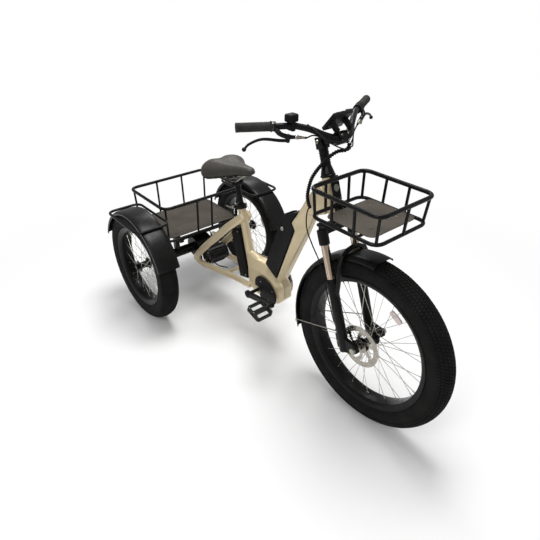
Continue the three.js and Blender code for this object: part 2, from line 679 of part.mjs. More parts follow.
function frontBasket() {
  const cage = basket(FRONT_BASKET, 42, [0], [-62, 62], [-1085, -1185], [-1080, -1200]);
  // The low back rail stands forward of the head tube, on a bracket that bolts to it.
  const arm = (x) => block(x - 4, x + 4, -1205, -996, 868, 882);
  const plate = block(-24, 24, -31.5, -26, -138, -104);
  plate.applyMatrix4(steering.matrixWorld);
  return cut(
    join(cage, arm(-18), arm(18), plate),
    hole(v3(0, 0, -HEAD_TUBE_LENGTH - 20).applyMatrix4(steering.matrixWorld),
      v3(0, 0, 40).applyMatrix4(steering.matrixWorld), HEAD_TUBE_RADIUS + GAP, 14));
}
add(tricycle, 'front_basket', frontBasket(), BLACK_PAINT);
add(tricycle, 'front_basket_floor', roundedPanel(124, -1250, -1035, 889.2, 892.5, 28), FLOOR_PANEL);
add(steering, 'head_badge', block(-21, 21, -31, -25.6, -98, -6), BLACK_PLASTIC);

// ---- rear fenders with their tubular hoops ----
const channel = ({ inner, outer, half }, lip) => [
  [-half, inner - lip], [-half + 3, inner - lip], [-half + 4, inner - 5], [-half * 0.6, inner],
  [half * 0.6, inner], [half - 4, inner - 5], [half - 3, inner - lip], [half, inner - lip],
  [half - 0.5, outer - 6], [half * 0.6, outer], [-half * 0.6, outer], [-half + 0.5, outer - 6],
];
for (const [side, name] of [[-1, 'right'], [1, 'left']]) {
  const x = side * HALF_TRACK;
  const hoopX = [side * HOOP.inner, side * HOOP.outer];
  const fender = bentRound(channel(REAR_FENDER, 16), 19, 161, 12, 0, REAR_WHEEL.radius, x);
  const corners = [
    v3(hoopX[0], HOOP.half, HOOP.z), v3(hoopX[1], HOOP.half, HOOP.z),
    v3(hoopX[1], -HOOP.half, HOOP.z), v3(hoopX[0], -HOOP.half, HOOP.z),
  ];
  const hoop = loop(rounded(corners, 38, true), RAIL_RADIUS - 1.5);
  add(tricycle, `rear_fender_${name}`, fender, FENDER_PLASTIC);
  add(tricycle, `fender_hoop_${name}`, hoop, BLACK_PAINT);
}

// ---- fork ----
function forkCrown() {
  const socket = (x) => rod(v3(x, 0, -245), v3(x, 0, -187), 21.5, 12);
  const bridge = block(-FORK_LEG_X, FORK_LEG_X, -19, 19, -206, -170);
  const steerer = rod(v3(0, 0, -176), v3(0, 0, 1.5), STEERER_RADIUS, 12);
  const pocket = (x) => hole(v3(x, 0, -250), v3(x, 0, -209.7), STANCHION_RADIUS + GAP, 12);
  return cut(
    join(socket(-FORK_LEG_X), socket(FORK_LEG_X), bridge, steerer),
    pocket(-FORK_LEG_X), pocket(FORK_LEG_X));
}
add(steering, 'fork_crown', forkCrown(), BLACK_PAINT);
for (const [side, name] of [[-1, 'right'], [1, 'left']]) {
  const x = side * FORK_LEG_X;
  const stanchion = rod(v3(x, 0, -560), v3(x, 0, -210), STANCHION_RADIUS, 14);
  add(steering, `stanchion_${name}`, stanchion, CHROME);
}

function forkLowers() {
  const leg = (x) => rod(v3(x, 0, -690), v3(x, 0, -398), LOWER_LEG_RADIUS - 1, 20, LOWER_LEG_RADIUS);
  const dropout = (x) => slab([[-70, -656], [-8, -628], [12, -640], [10, -694], [-50, -694], [-72, -684]], x - 9, x + 9);
  const archPoints = smooth([
    v3(-80, -12, -450), v3(-82, -36, -395), v3(-80, -54, -340), v3(-62, -61, -295), v3(0, -62, -276),
    v3(62, -61, -295), v3(80, -54, -340), v3(82, -36, -395), v3(80, -12, -450),
  ], 14);
  const arch = pipe(archPoints, 10.5, 6);
  const bore = (x) => hole(v3(x, 0, -640), v3(x, 0, -390), STANCHION_RADIUS + GAP, 14);
  const axleHole = axleRod(-120, 120, FORK_AXLE.y, FORK_AXLE.z, 6.4, 14);
  return cut(
    join(leg(-FORK_LEG_X), leg(FORK_LEG_X), dropout(-FORK_LEG_X), dropout(FORK_LEG_X), arch),
    bore(-FORK_LEG_X), bore(FORK_LEG_X), axleHole);
}
add(steering, 'fork_lowers', forkLowers(), BLACK_PAINT);

function frontAxle() {
  const skewer = axleRod(-98, 98, FORK_AXLE.y, FORK_AXLE.z, 6, 14);
  const nuts = [-1, 1].map((side) =>
    axleRod(side * 89.4, side * 101, FORK_AXLE.y, FORK_AXLE.z, 13, 6));
  return join(skewer, ...nuts);
}
add(steering, 'front_axle', frontAxle(), STEEL);

// Brake caliper: a body that straddles the disc behind the right leg.
function caliper() {
  const body = block(-66, -41, 23, 54, -694, -632);
  const slot = block(-55.2, -48, 10, 42, -720, -600);
  const lug = block(-84, -60, 22, 34, -664, -640);
  const inlet = rod(v3(-60, 42, -634), v3(-62, 48, -612), 4.5, 8);
  return join(cut(body, slot), lug, inlet);
}
add(steering, 'front_caliper', caliper(), BLACK_PAINT);

function frontFender() {
  const { inner, outer, half } = FRONT_FENDER;
  const shell = bentRound([
    [-half, inner - 17], [-half + 3, inner - 17], [-half * 0.7, inner - 3], [-15, inner], [15, inner],
    [half * 0.7, inner - 3], [half - 3, inner - 17], [half, inner - 17], [half * 0.72, outer - 3],
    [15, outer], [-15, outer], [-half * 0.72, outer - 3],
  ], -18, 92.5, 12, FRONT_WHEEL.y, FRONT_WHEEL.radius);
  const stay = (side) => {
    const foot = v3(side * 86, 23.2, -606).applyMatrix4(steering.matrixWorld);
    const end = v3(side * 53.5, FRONT_WHEEL.y + 358, FRONT_WHEEL.radius - 76);
    return rod(foot, end, 2.4, 6);
  };
  return join(shell, stay(-1), stay(1));
}
add(tricycle, 'front_fender', frontFender(), FENDER_PLASTIC);

// ---- stem, handlebar and controls ----
const CLAMP = { y: -95, z: 124 };
function stemRiser() {
  const post = turnedUp([[0, 2], [27, 2], [26, 8], [18.5, 34], [18, 108], [0, 108]], 12);
  const cheeks = cut(block(-20, 20, -16, 16, 96, 139), block(-12.5, 12.5, -30, 30, 108, 160));
  const bolt = axleRod(-22, 22, 0, 124, 6, 10);
  return join(post, cheeks, bolt);
}
add(steering, 'stem_riser', stemRiser(), BLACK_PAINT);

function stemArm() {
  const arm = slab([[14, 112], [14, 136], [CLAMP.y, 142], [CLAMP.y, 106]], -12, 12);
  const clamp = axleRod(-24, 24, CLAMP.y, CLAMP.z, 23, 14);
  return cut(
    join(arm, clamp), axleRod(-40, 40, CLAMP.y, CLAMP.z, 16.2, 14), axleRod(-40, 40, 0, 124, 6.4, 12));
}
add(steering, 'stem_arm', stemArm(), BLACK_PAINT);

// Handlebar: a raised, swept-back tube. These are the points of its right half.
const barCentre = v3(0, CLAMP.y, CLAMP.z).applyMatrix4(steering.matrixWorld);
const gripInner = v3(-208, -868, 1184);
const gripOuter = v3(-327, -804, 1186);
const gripAxis = gripOuter.clone().sub(gripInner).normalize();
const alongBar = (distance) => gripInner.clone().addScaledVector(gripAxis, distance);
const otherSide = (point) => v3(-point.x, point.y, point.z);
const barHalf = [
  barCentre, v3(-32, barCentre.y, barCentre.z), v3(-72, -952, 1152), v3(-108, -928, 1170), alongBar(-64),
];

function handlebar() {
  const rise = smooth(barHalf, 8);
  const right = [alongBar(126), ...rise.slice().reverse()];
  const points = [...right, ...right.slice(0, -1).reverse().map(otherSide)];
  const sleeve = rod(v3(-30, barCentre.y, barCentre.z), v3(30, barCentre.y, barCentre.z), 15.9, 14);
  return join(pipe(points, BAR_RADIUS, 10), sleeve);
}
add(tricycle, 'handlebar', handlebar(), BLACK_PAINT);

// A ring round the bar at a distance from the inner end of the grip.
function barRing(from, to, radius, sides = 16) {
  const ring = rod(alongBar(from), alongBar(to), radius, sides);
  return cut(ring, hole(alongBar(from - 3), alongBar(to + 3), BAR_RADIUS + GAP, 12));
}

const grip = cut(
  rod(alongBar(15), alongBar(135), GRIP_RADIUS, 12),
  hole(alongBar(5), alongBar(126.5), BAR_RADIUS + GAP, 12));
const leverPivot = v3(-184, -904, 1153);
function leverMount() {
  const ring = barRing(2, 14, 16.5);
  const horn = pipe([alongBar(8).add(v3(0, -8, -6)), v3(-213, -890, 1164), leverPivot], 6, 6);
  const adjuster = rod(leverPivot, v3(-128, -934, 1146), 6, 8, 4);
  return cut(join(ring, horn, adjuster), hole(alongBar(-60), alongBar(30), BAR_RADIUS + GAP, 12));
}
function brakeLever() {
  const blade = pipe(smooth([
    leverPivot.clone().add(v3(0, 4, -13.5)), v3(-206, -884, 1140), v3(-262, -860, 1149),
    v3(-304, -846, 1138), v3(-322, -842, 1124),
  ], 8), 5, 6);
  const tip = new THREE.SphereGeometry(7.5, 8, 6).translate(-323, -841, 1122);
  return join(blade, tip);
}
for (const [name, geometry, material] of [
  ['grip', grip, GRIP_RUBBER],
  ['lever_mount', leverMount(), BLACK_PAINT],
  ['brake_lever', brakeLever(), BLACK_PAINT],
]) {
  add(tricycle, `${name}_right`, geometry, material);
  add(tricycle, `${name}_left`, mirrored(geometry), material);
}

// Control box on the right of the bar, with its push button.
function controlBox() {
  const { x, y, z } = alongBar(-52);
  const box = block(x - 20, x + 20, y - 17, y + 17, z + 13, z + 40);
  const strap = block(x - 8, x + 8, y - 16, y + 16, z - 16, z + 15);
  const well = block(x - 12, x - 2, y + 6, y + 30, z + 22, z + 32);
  return cut(join(box, strap), hole(alongBar(-90), alongBar(0), BAR_RADIUS + 0.6, 12), well);
}
add(tricycle, 'control_box', controlBox(), BLACK_PLASTIC);
const buttonAt = alongBar(-52).add(v3(-7, 15.5, 27));
add(tricycle, 'assist_button', new THREE.BoxGeometry(9, 9.6, 9).translate(...buttonAt), GRIP_RUBBER);

// Thumb throttle on the left of the bar: a housing and a sprung paddle.
const mirroredRing = (from, to, radius) => mirrored(barRing(from, to, radius));
add(tricycle, 'throttle_housing', mirroredRing(-18, -6, 17.5), BLACK_PLASTIC);
function throttlePaddle() {
  const ring = mirroredRing(-32, -18.5, 17);
  const centre = otherSide(alongBar(-25.5));
  const root = centre.clone().add(v3(-6.6, 12.3, -4));
  const paddle = rod(root, centre.clone().add(v3(-20, 38, -12)), 5, 8, 7);
  return cut(join(ring, paddle), mirrored(hole(alongBar(-60), alongBar(0), BAR_RADIUS + GAP, 12)));
}
add(tricycle, 'thumb_throttle', throttlePaddle(), BLACK_PLASTIC);

// Display: a slim tilted screen on two legs above the stem clamp.
function display() {
  const screen = block(-46, 46, -40, 40, -7, 7);
  const leg = (x) => block(x - 5, x + 5, -14, 10, -46, -5);
  const whole = join(screen, leg(-33), leg(33)).rotateX(-rad(50)).translate(0, -950, 1188);
  return cut(whole, rod(v3(-90, barCentre.y, barCentre.z), v3(90, barCentre.y, barCentre.z), 17.5, 12));
}
add(tricycle, 'display', display(), BLACK_PLASTIC);

// ---- cables ----
const HARNESS_ROUTE = [
  v3(14, -1003, 1116), v3(10, -996, 1094), v3(-4, -966, 1082), v3(-25, -944, 1058), v3(-36, -924, 1029),
  v3(-45, -902, 993), v3(-51, -888, 958), v3(-53, -878, 900), v3(-46, -880, 862), v3(-41, -886, 846),
];
add(tricycle, 'cable_harness', pipe(smooth(HARNESS_ROUTE, 18), 8, 6), BLACK_PLASTIC);
const BRAKE_CABLE_ROUTE = [
  v3(-56, -896, 866), v3(-74, -900, 830), v3(-98, -930, 790), v3(-110, -975, 745), v3(-112, -1020, 690),
  v3(-111, -1060, 600), v3(-106, -1087, 520), v3(-80, -1090, 440), v3(-63, -1096, 408),
];
add(tricycle, 'brake_cable', pipe(smooth(BRAKE_CABLE_ROUTE, 18), 2.5, 5), BLACK_PLASTIC);

// ---- saddle and its post ----
function seatpost() {
  const post = rod(v3(0, 0, -165), v3(0, 0, 112), SEATPOST_RADIUS, 14);
  const head = block(-22, 22, -20, 16, 96, 118);
  return join(post, head);
}
add(seatLine, 'seatpost', seatpost(), BLACK_PAINT);

function saddle() {
  const stations = [
    [-484, 8, 867, 852], [-474, 19, 873, 845], [-445, 26, 875, 838], [-400, 36, 872, 828],
    [-350, 62, 868, 812], [-300, 97, 867, 795], [-255, 116, 867, 784], [-224, 106, 860, 786],
    [-207, 74, 848, 797],
  ];
  return loft(stations.map(([y, half, top, bottom]) => {
    const middle = 0.5 * (top + bottom);
    const right = [[0.45, top], [0.85, 0.65 * top + 0.35 * middle], [1, middle], [0.88, bottom]];
    const ring = [...right, ...right.map(([share, z]) => [-share, z]).reverse()];
    return ring.map(([share, z]) => v3(share * half, y, z));
  }));
}
add(tricycle, 'saddle', saddle(), VINYL);

function seatClamp() {
  const collar = cut(
    join(rod(v3(0, 0, -15), v3(0, 0, 5), 26, 16), block(-14, 14, 20, 40, -13, 3)),
    rod(v3(0, 0, -30), v3(0, 0, 20), 19.8, 16), block(-2, 2, 15, 50, -30, 20));
  const bolt = axleRod(-19, 20, 31, -5, 3.5, 10);
  const nut = axleRod(13, 20, 31, -5, 7.5, 6);
  return join(collar, bolt, nut);
}
add(seatLine, 'seat_clamp', seatClamp(), BLACK_PAINT);
function clampLever() {
  const cam = rod(v3(-26.5, 31, -12), v3(-26.5, 31, 2), 7, 12);
  const handle = pipe(smooth([v3(-27, 31, -5), v3(-33, 46, -5), v3(-35, 62, -3), v3(-32, 78, 0)], 8), 4, 8);
  return join(cam, handle);
}
add(seatLine, 'seat_clamp_lever', clampLever(), STEEL);

// The origin lies on the ground, midway along the tricycle.
const extent = new THREE.Box3().setFromObject(tricycle);
tricycle.position.y = -(extent.min.y + extent.max.y) / 2;
tricycle.updateMatrixWorld(true);

export default tricycle;
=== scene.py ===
"""An adult electric tricycle with fat tyres, two wire baskets and a sprung fork."""

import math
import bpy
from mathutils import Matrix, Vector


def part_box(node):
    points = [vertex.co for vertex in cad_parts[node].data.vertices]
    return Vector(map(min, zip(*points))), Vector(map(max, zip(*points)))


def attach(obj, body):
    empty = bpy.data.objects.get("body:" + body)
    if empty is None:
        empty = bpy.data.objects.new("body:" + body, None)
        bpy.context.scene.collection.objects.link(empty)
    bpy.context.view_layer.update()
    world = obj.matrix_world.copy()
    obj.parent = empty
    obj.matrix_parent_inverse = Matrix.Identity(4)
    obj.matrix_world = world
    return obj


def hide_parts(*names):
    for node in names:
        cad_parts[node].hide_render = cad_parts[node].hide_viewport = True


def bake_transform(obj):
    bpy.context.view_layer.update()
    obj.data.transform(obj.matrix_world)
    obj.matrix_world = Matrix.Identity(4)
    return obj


bl_info = {
    "name": "Adult electric tricycle",
    "version": (1, 0, 0),
    "blender": (4, 5, 0),
    "location": "View3D > Sidebar > Tricycle",
    "description": "Builds the visible surfaces of an adult electric tricycle around its packed frame",
    "category": "Add Mesh",
}

import bmesh
import bpy
import numpy as np
from bpy.props import FloatProperty, FloatVectorProperty, IntProperty, PointerProperty
from mathutils import Matrix, Vector

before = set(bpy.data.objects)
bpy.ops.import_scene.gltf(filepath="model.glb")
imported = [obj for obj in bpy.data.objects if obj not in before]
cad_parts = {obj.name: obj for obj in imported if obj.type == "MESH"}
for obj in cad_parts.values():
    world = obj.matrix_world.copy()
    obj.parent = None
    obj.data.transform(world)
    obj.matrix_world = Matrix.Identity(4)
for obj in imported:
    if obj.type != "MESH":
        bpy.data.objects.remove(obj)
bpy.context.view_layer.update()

# ---- places that the pieces share, in millimetres from the ground under the rear axle ----
REAR_AXLE_Y = 643.5
WHEELBASE = 1210
HALF_TRACK = 353
FRONT_WHEEL = {"radius": 371, "rim": 285, "half": 50, "x": 0, "y": -WHEELBASE}
REAR_WHEEL = {"radius": 294, "rim": 211, "half": 50, "y": 0}
STEER_TOP = (0, -926, 983)
STEER_TILT = 20
SEAT_TUBE_TOP = (0, -392, 672)
SEAT_TUBE_TILT = 15.5
CRANK_Y, CRANK_Z = -577, 308
CHAIN_X = 98
CHAINRING_RADIUS = 80.9
SPROCKET_RADIUS = 40.6
REAR_BASKET = {"x": 239, "back": 287, "front": -72, "top": 598, "bottom": 409, "inset": 8}
FRONT_BASKET = {"x": 146, "back": -976, "front": -1289, "top": 984, "bottom": 880, "inset": 7}
SIDES = ((-1, "right"), (1, "left"))


def at(x, y, z):
    """A point in the tricycle's own frame, in metres."""
    return Vector((x / 1000, (y + REAR_AXLE_Y) / 1000, z / 1000))


STEERING = Matrix.Translation(at(*STEER_TOP)) @ Matrix.Rotation(-math.radians(STEER_TILT), 4, "X")
SEAT_LINE = Matrix.Translation(at(*SEAT_TUBE_TOP)) @ Matrix.Rotation(-math.radians(SEAT_TUBE_TILT), 4, "X")


def on_steering(x, y, z):
    """A point given along the steering axis."""
    return STEERING @ Vector((x / 1000, y / 1000, z / 1000))


def on_seat_line(x, y, z):
    """A point given along the seat tube."""
    return SEAT_LINE @ Vector((x / 1000, y / 1000, z / 1000))


# ---- what a user may change ----
class TricycleSizes(bpy.types.PropertyGroup):
    """Sizes of the repeated and rounded details."""

    spokes: IntProperty(name="Spokes", description="Spokes in each wheel", default=36, min=12, max=48)
    tread_rows: IntProperty(name="Tread rows", description="Rows of blocks round the front tyre",
                            default=170, min=60, max=220)
    tread_height: FloatProperty(
        name="Tread height", description="How far the blocks stand off the tyre", default=0.0028,
        min=0.001, max=0.006, unit="LENGTH")
    weld_voxel: FloatProperty(
        name="Weld detail", description="Grain at which the frame tubes are blended", default=0.0029,
        min=0.0015, max=0.006, unit="LENGTH")
    grip_ribs: IntProperty(name="Grip ribs", description="Ribs along a grip", default=16, min=6, max=40)
    rail_radius: FloatProperty(
        name="Rail radius", description="Radius of the basket rails", default=0.008,
        min=0.004, max=0.012, unit="LENGTH")
    wire_radius: FloatProperty(
        name="Wire radius", description="Radius of the basket wires", default=0.0055,
        min=0.002, max=0.008, unit="LENGTH")
    bolt_radius: FloatProperty(
        name="Bolt radius", description="Radius of a socket bolt's head", default=0.0042,
        min=0.002, max=0.008, unit="LENGTH")


def colour(name, description, default):
    return FloatVectorProperty(
        name=name, description=description, default=default, size=3, min=0, max=1, subtype="COLOR_GAMMA")


class TricycleColours(bpy.types.PropertyGroup):
    """Colours of the finishes."""

    frame_paint: colour("Frame paint", "Satin champagne paint of the frame", (0.800, 0.735, 0.600))
    black_paint: colour("Black paint", "Satin black of racks, bars and fork", (0.060, 0.060, 0.059))
    black_plastic: colour("Black plastic", "Housings and cables", (0.078, 0.078, 0.078))
    fender_plastic: colour("Fender plastic", "Satin black fenders", (0.075, 0.075, 0.073))
    floor_panel: colour("Floor panel", "Plates in the baskets", (0.300, 0.280, 0.255))
    tyre_rubber: colour("Tyre rubber", "Tyres", (0.105, 0.103, 0.101))
    grip_rubber: colour("Grip rubber", "Grips and buttons", (0.185, 0.185, 0.180))
    saddle_vinyl: colour("Saddle vinyl", "Cover of the saddle", (0.250, 0.240, 0.222))
    stanchion_chrome: colour("Stanchion chrome", "Fork stanchions", (0.80, 0.72, 0.64))
    bare_steel: colour("Bare steel", "Rotor, chain and bolts", (0.66, 0.64, 0.60))
    spoke_steel: colour("Spoke steel", "Spokes", (0.78, 0.77, 0.74))


# ---- finishes ----
# For each: roughness, metal, coat, specular level, tone change, tone scale, grain scale, grain depth in
# mm, grain kind.
FINISHES = {
    "frame_paint": (0.36, 0.35, 0.25, 0.4, 0.05, 7, 900, 0.02, "fine"),
    "black_paint": (0.30, 0.0, 0.0, 0.17, 0.25, 14, 700, 0.03, "fine"),
    "black_plastic": (0.45, 0.0, 0.0, 0.12, 0.22, 18, 1100, 0.05, "fine"),
    "fender_plastic": (0.30, 0.0, 0.0, 0.20, 0.15, 9, 600, 0.02, "fine"),
    "floor_panel": (0.60, 0.0, 0.0, 0.08, 0.16, 12, 420, 0.12, "pebble"),
    "tyre_rubber": (0.70, 0.0, 0.0, 0.07, 0.28, 16, 800, 0.08, "fine"),
    "grip_rubber": (0.62, 0.0, 0.0, 0.12, 0.20, 30, 900, 0.06, "pebble"),
    "saddle_vinyl": (0.38, 0.0, 0.0, 0.16, 0.14, 20, 520, 0.14, "pebble"),
    "stanchion_chrome": (0.12, 1.0, 0.0, 0.5, 0.05, 10, 400, 0.005, "fine"),
    "bare_steel": (0.28, 1.0, 0.0, 0.5, 0.12, 40, 1200, 0.02, "fine"),
    "spoke_steel": (0.24, 1.0, 0.0, 0.5, 0.08, 40, 1200, 0.01, "fine"),
}
EXTRA_COLOURS = {"screen_glass": (0.03, 0.035, 0.04), "reflector": (0.86, 0.80, 0.78),
                 "emblem": (0.60, 0.59, 0.56)}
EXTRA_FINISHES = {
    "screen_glass": (0.06, 0.0, 0.6, 0.5, 0.10, 8, 300, 0.0, "fine"),
    "reflector": (0.18, 0.0, 0.6, 0.5, 0.10, 30, 700, 0.25, "pebble"),
    "emblem": (0.30, 0.9, 0.1, 0.5, 0.10, 60, 900, 0.02, "fine"),
}


def linear(channel):
    """A display colour channel as a light value."""
    return channel / 12.92 if channel <= 0.04045 else ((channel + 0.055) / 1.055) ** 2.4


def finish(name):
    """The node material of one finish, made once."""
    label = name + "_finish"
    material = bpy.data.materials.get(label)
    if material:
        return material
    rough, metal, coat, specular, tone, tone_scale, grain_scale, grain_depth, kind = {**FINISHES,
        **EXTRA_FINISHES}[name]
    display = EXTRA_COLOURS.get(name)
    if display is None:
        display = getattr(bpy.context.scene.tricycle_colours, name)
    base = [linear(channel) for channel in display]
    material = bpy.data.materials.new(label)
    material.use_nodes = True
    nodes, links = material.node_tree.nodes, material.node_tree.links
    shader = nodes["Principled BSDF"]
    shader.inputs["Metallic"].default_value = metal
    shader.inputs["Coat Weight"].default_value = coat
    shader.inputs["Specular IOR Level"].default_value = specular
    shader.inputs["Coat Roughness"].default_value = 0.25
    place = nodes.new("ShaderNodeTexCoord").outputs["Object"]

    def noise(scale, detail):
        node = nodes.new("ShaderNodeTexNoise")
        node.inputs["Scale"].default_value = scale
        node.inputs["Detail"].default_value = detail
        links.new(place, node.inputs["Vector"])
        return node.outputs["Fac"]

    ramp = nodes.new("ShaderNodeValToRGB")
    ramp.color_ramp.elements[0].position = 0.3
    ramp.color_ramp.elements[1].position = 0.7
    ramp.color_ramp.elements[0].color = [*(c * (1 - tone) for c in base), 1]
    ramp.color_ramp.elements[1].color = [*(min(c * (1 + tone), 1) for c in base), 1]
    links.new(noise(tone_scale, 6), ramp.inputs["Fac"])
    links.new(ramp.outputs["Color"], shader.inputs["Base Color"])
    spread = nodes.new("ShaderNodeMapRange")
    spread.inputs["From Min"].default_value = 0.25
    spread.inputs["From Max"].default_value = 0.75
    spread.inputs["To Min"].default_value = max(rough - 0.06, 0.02)
    spread.inputs["To Max"].default_value = rough + 0.07
    links.new(noise(tone_scale * 5, 5), spread.inputs["Value"])
    links.new(spread.outputs["Result"], shader.inputs["Roughness"])
    if grain_depth:
        if kind == "pebble":
            cells = nodes.new("ShaderNodeTexVoronoi")
            cells.feature = "SMOOTH_F1"
            cells.inputs["Scale"].default_value = grain_scale
            links.new(place, cells.inputs["Vector"])
            height = cells.outputs["Distance"]
        else:
            height = noise(grain_scale, 4)
        bump = nodes.new("ShaderNodeBump")
        bump.inputs["Strength"].default_value = 0.6
        bump.inputs["Distance"].default_value = grain_depth / 1000
        links.new(height, bump.inputs["Height"])
        links.new(bump.outputs["Normal"], shader.inputs["Normal"])
    return material


# ---- mesh tools ----
def tidy_mesh(mesh, crease=38.0, turn_out=True):
    """Merges doubled corners, turns the faces out and smooths all but the sharp edges."""
    work = bmesh.new()
    work.from_mesh(mesh)
    bmesh.ops.remove_doubles(work, verts=work.verts, dist=1e-6)
    bmesh.ops.dissolve_degenerate(work, edges=work.edges, dist=1e-7)
    if turn_out:
        bmesh.ops.recalc_face_normals(work, faces=work.faces)
    limit = math.radians(crease)
    for face in work.faces:
        face.smooth = True
    for edge in work.edges:
        edge.smooth = len(edge.link_faces) == 2 and edge.calc_face_angle(0) < limit
    work.to_mesh(mesh)
    work.free()
    return mesh


def link(name, mesh):
    obj = bpy.data.objects.new(name, mesh)
    bpy.context.scene.collection.objects.link(obj)
    return obj


def from_faces(name, corners, faces, crease=38.0):
    mesh = bpy.data.meshes.new(name)
    mesh.from_pydata([tuple(corner) for corner in corners], [], faces)
    return link(name, tidy_mesh(mesh, crease))


def bake(obj, crease=None):
    """Applies the modifiers by taking the evaluated mesh, then removes them."""
    bpy.context.view_layer.update()
    made = bpy.data.meshes.new_from_object(obj.evaluated_get(bpy.context.evaluated_depsgraph_get()))
    obj.modifiers.clear()
    obj.data = made
    if crease is not None:
        tidy_mesh(made, crease)
    return obj


def merged(name, objects):
    """Puts several objects' meshes into one piece and removes the parts."""
    work = bmesh.new()
    for obj in objects:
        part = obj.data.copy()
        part.transform(obj.matrix_world)
        work.from_mesh(part)
        bpy.data.meshes.remove(part)
    mesh = bpy.data.meshes.new(name)
    work.to_mesh(mesh)
    work.free()
    for obj in objects:
        bpy.data.objects.remove(obj)
    return link(name, mesh)


def done(obj, body, slot, *nodes, material=None):
    """Gives a piece its finish and its body, and hides the nodes that it stands for."""
    obj.data.materials.clear()
    obj.data.materials.append(finish(material or slot))
    for face in obj.data.polygons:
        face.material_index = 0
    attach(obj, body)
    if nodes:
        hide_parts(*nodes)
    return obj


def node_copy(name, *nodes):
    """A merged copy of CAD nodes that may be changed."""
    work = bmesh.new()
    for node in nodes:
        work.from_mesh(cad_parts[node].data)
    bmesh.ops.remove_doubles(work, verts=work.verts, dist=2e-6)
    mesh = bpy.data.meshes.new(name)
    work.to_mesh(mesh)
    work.free()
    mesh.materials.clear()
    return link(name, mesh)


def softened(name, width, *nodes, segments=3):
    """A copy of flat-sided nodes with their edges rounded."""
    obj = node_copy(name, *nodes)
    work = bmesh.new()
    work.from_mesh(obj.data)
    bmesh.ops.dissolve_limit(work, angle_limit=math.radians(4), verts=work.verts, edges=work.edges)
    work.to_mesh(obj.data)
    work.free()
    bevel = obj.modifiers.new("Bevel", "BEVEL")
    bevel.width = width
    bevel.segments = segments
    bevel.limit_method = "ANGLE"
    bevel.angle_limit = math.radians(28)
    bevel.use_clamp_overlap = True
    return bake(obj, 40)


def cast(name, voxel, rounds, *nodes, extra=()):
    """A copy of nodes blended into one smooth casting."""
    parts = [node_copy(name + "_part", *nodes), *extra]
    obj = merged(name, parts)
    remesh = obj.modifiers.new("Remesh", "REMESH")
    remesh.mode = "VOXEL"
    remesh.voxel_size = voxel
    smooth = obj.modifiers.new("Smooth", "SMOOTH")
    smooth.factor = 0.5
    smooth.iterations = rounds
    return bake(obj, 60)


def lathe(profile, start, direction, segments=48, closed=False):
    """Corners and faces of a surface turned about a line, from (distance along, radius) pairs in metres."""
    axis = direction.normalized()
    side = axis.orthogonal().normalized()
    other = axis.cross(side)
    corners, faces = [], []
    for along, radius in profile:
        for i in range(segments):
            angle = 2 * math.pi * i / segments
            corners.append(start + axis * along + (side * math.cos(angle) + other * math.sin(angle))
                           * radius)
    rows = len(profile)
    for row in range(rows if closed else rows - 1):
        after = (row + 1) % rows
        for i in range(segments):
            j = (i + 1) % segments
            faces.append((row * segments + i, row * segments + j, after * segments + j,
                          after * segments + i))
    return corners, faces


def turned(name, profile, start, direction, segments=48, closed=False, crease=38.0):
    """A turned piece; an open profile starts and ends on its axis."""
    return from_faces(name, *lathe(profile, start, direction, segments, closed), crease=crease)


def rod_profile(length, radius, edge=0.0008):
    """A plain round bar with softened ends."""
    return [(0, 0), (0, radius - edge), (edge, radius), (length - edge, radius), (length, radius - edge),
            (length, 0)]


def rod(name, start, end, radius, segments=40):
    return turned(name, rod_profile((end - start).length, radius), start, end - start, segments)


def curve_through(points, steps, closed=False):
    """Evenly stepped points on a smooth curve through the points given."""
    count = len(points)
    spans = count if closed else count - 1

    def corner(i):
        if closed:
            return points[i % count]
        if i < 0:
            return points[0] * 2 - points[1]
        if i >= count:
            return points[-1] * 2 - points[-2]
        return points[i]

    dense = []
    for span in range(spans):
        a, b, c, d = (corner(span + k) for k in (-1, 0, 1, 2))
        for k in range(24):
            t = k / 24
            dense.append(0.5 * ((2 * b) + (c - a) * t + (2 * a - 5 * b + 4 * c - d) * t * t
                                + (3 * b - a - 3 * c + d) * t ** 3))
    dense.append(points[0].copy() if closed else points[-1].copy())
    reach = [0.0]
    for before, after in zip(dense, dense[1:]):
        reach.append(reach[-1] + (after - before).length)
    targets = np.linspace(0, reach[-1], steps + 1)
    place = np.array(dense)
    line = [Vector([float(np.interp(t, reach, place[:, k])) for k in range(3)]) for t in targets]
    return line[:-1] if closed else line


def rounded(corners, radius, closed, steps=8):
    """Rounds the corners of a line with short arcs."""
    points = []
    count = len(corners)
    for i, corner in enumerate(corners):
        if not closed and i in (0, count - 1):
            points.append(corner)
            continue
        start = corner + (corners[i - 1] - corner).normalized() * radius
        end = corner + (corners[(i + 1) % count] - corner).normalized() * radius
        for k in range(steps + 1):
            t = k / steps
            points.append(start * (1 - t) ** 2 + corner * 2 * t * (1 - t) + end * t * t)
    return points


# ---- geometry node trees ----
def new_tree(name, sockets):
    """A node tree with a geometry input and output and the named inputs given."""
    tree = bpy.data.node_groups.new(name, "GeometryNodeTree")
    tree.interface.new_socket("Geometry", in_out="INPUT", socket_type="NodeSocketGeometry")
    tree.interface.new_socket("Geometry", in_out="OUTPUT", socket_type="NodeSocketGeometry")
    for label, kind in sockets:
        tree.interface.new_socket(label, in_out="INPUT", socket_type=kind)
    return tree, tree.nodes.new("NodeGroupInput"), tree.nodes.new("NodeGroupOutput")


def named_attribute(tree, name, kind):
    node = tree.nodes.new("GeometryNodeInputNamedAttribute")
    node.data_type = kind
    node.inputs["Name"].default_value = name
    return node.outputs["Attribute"]


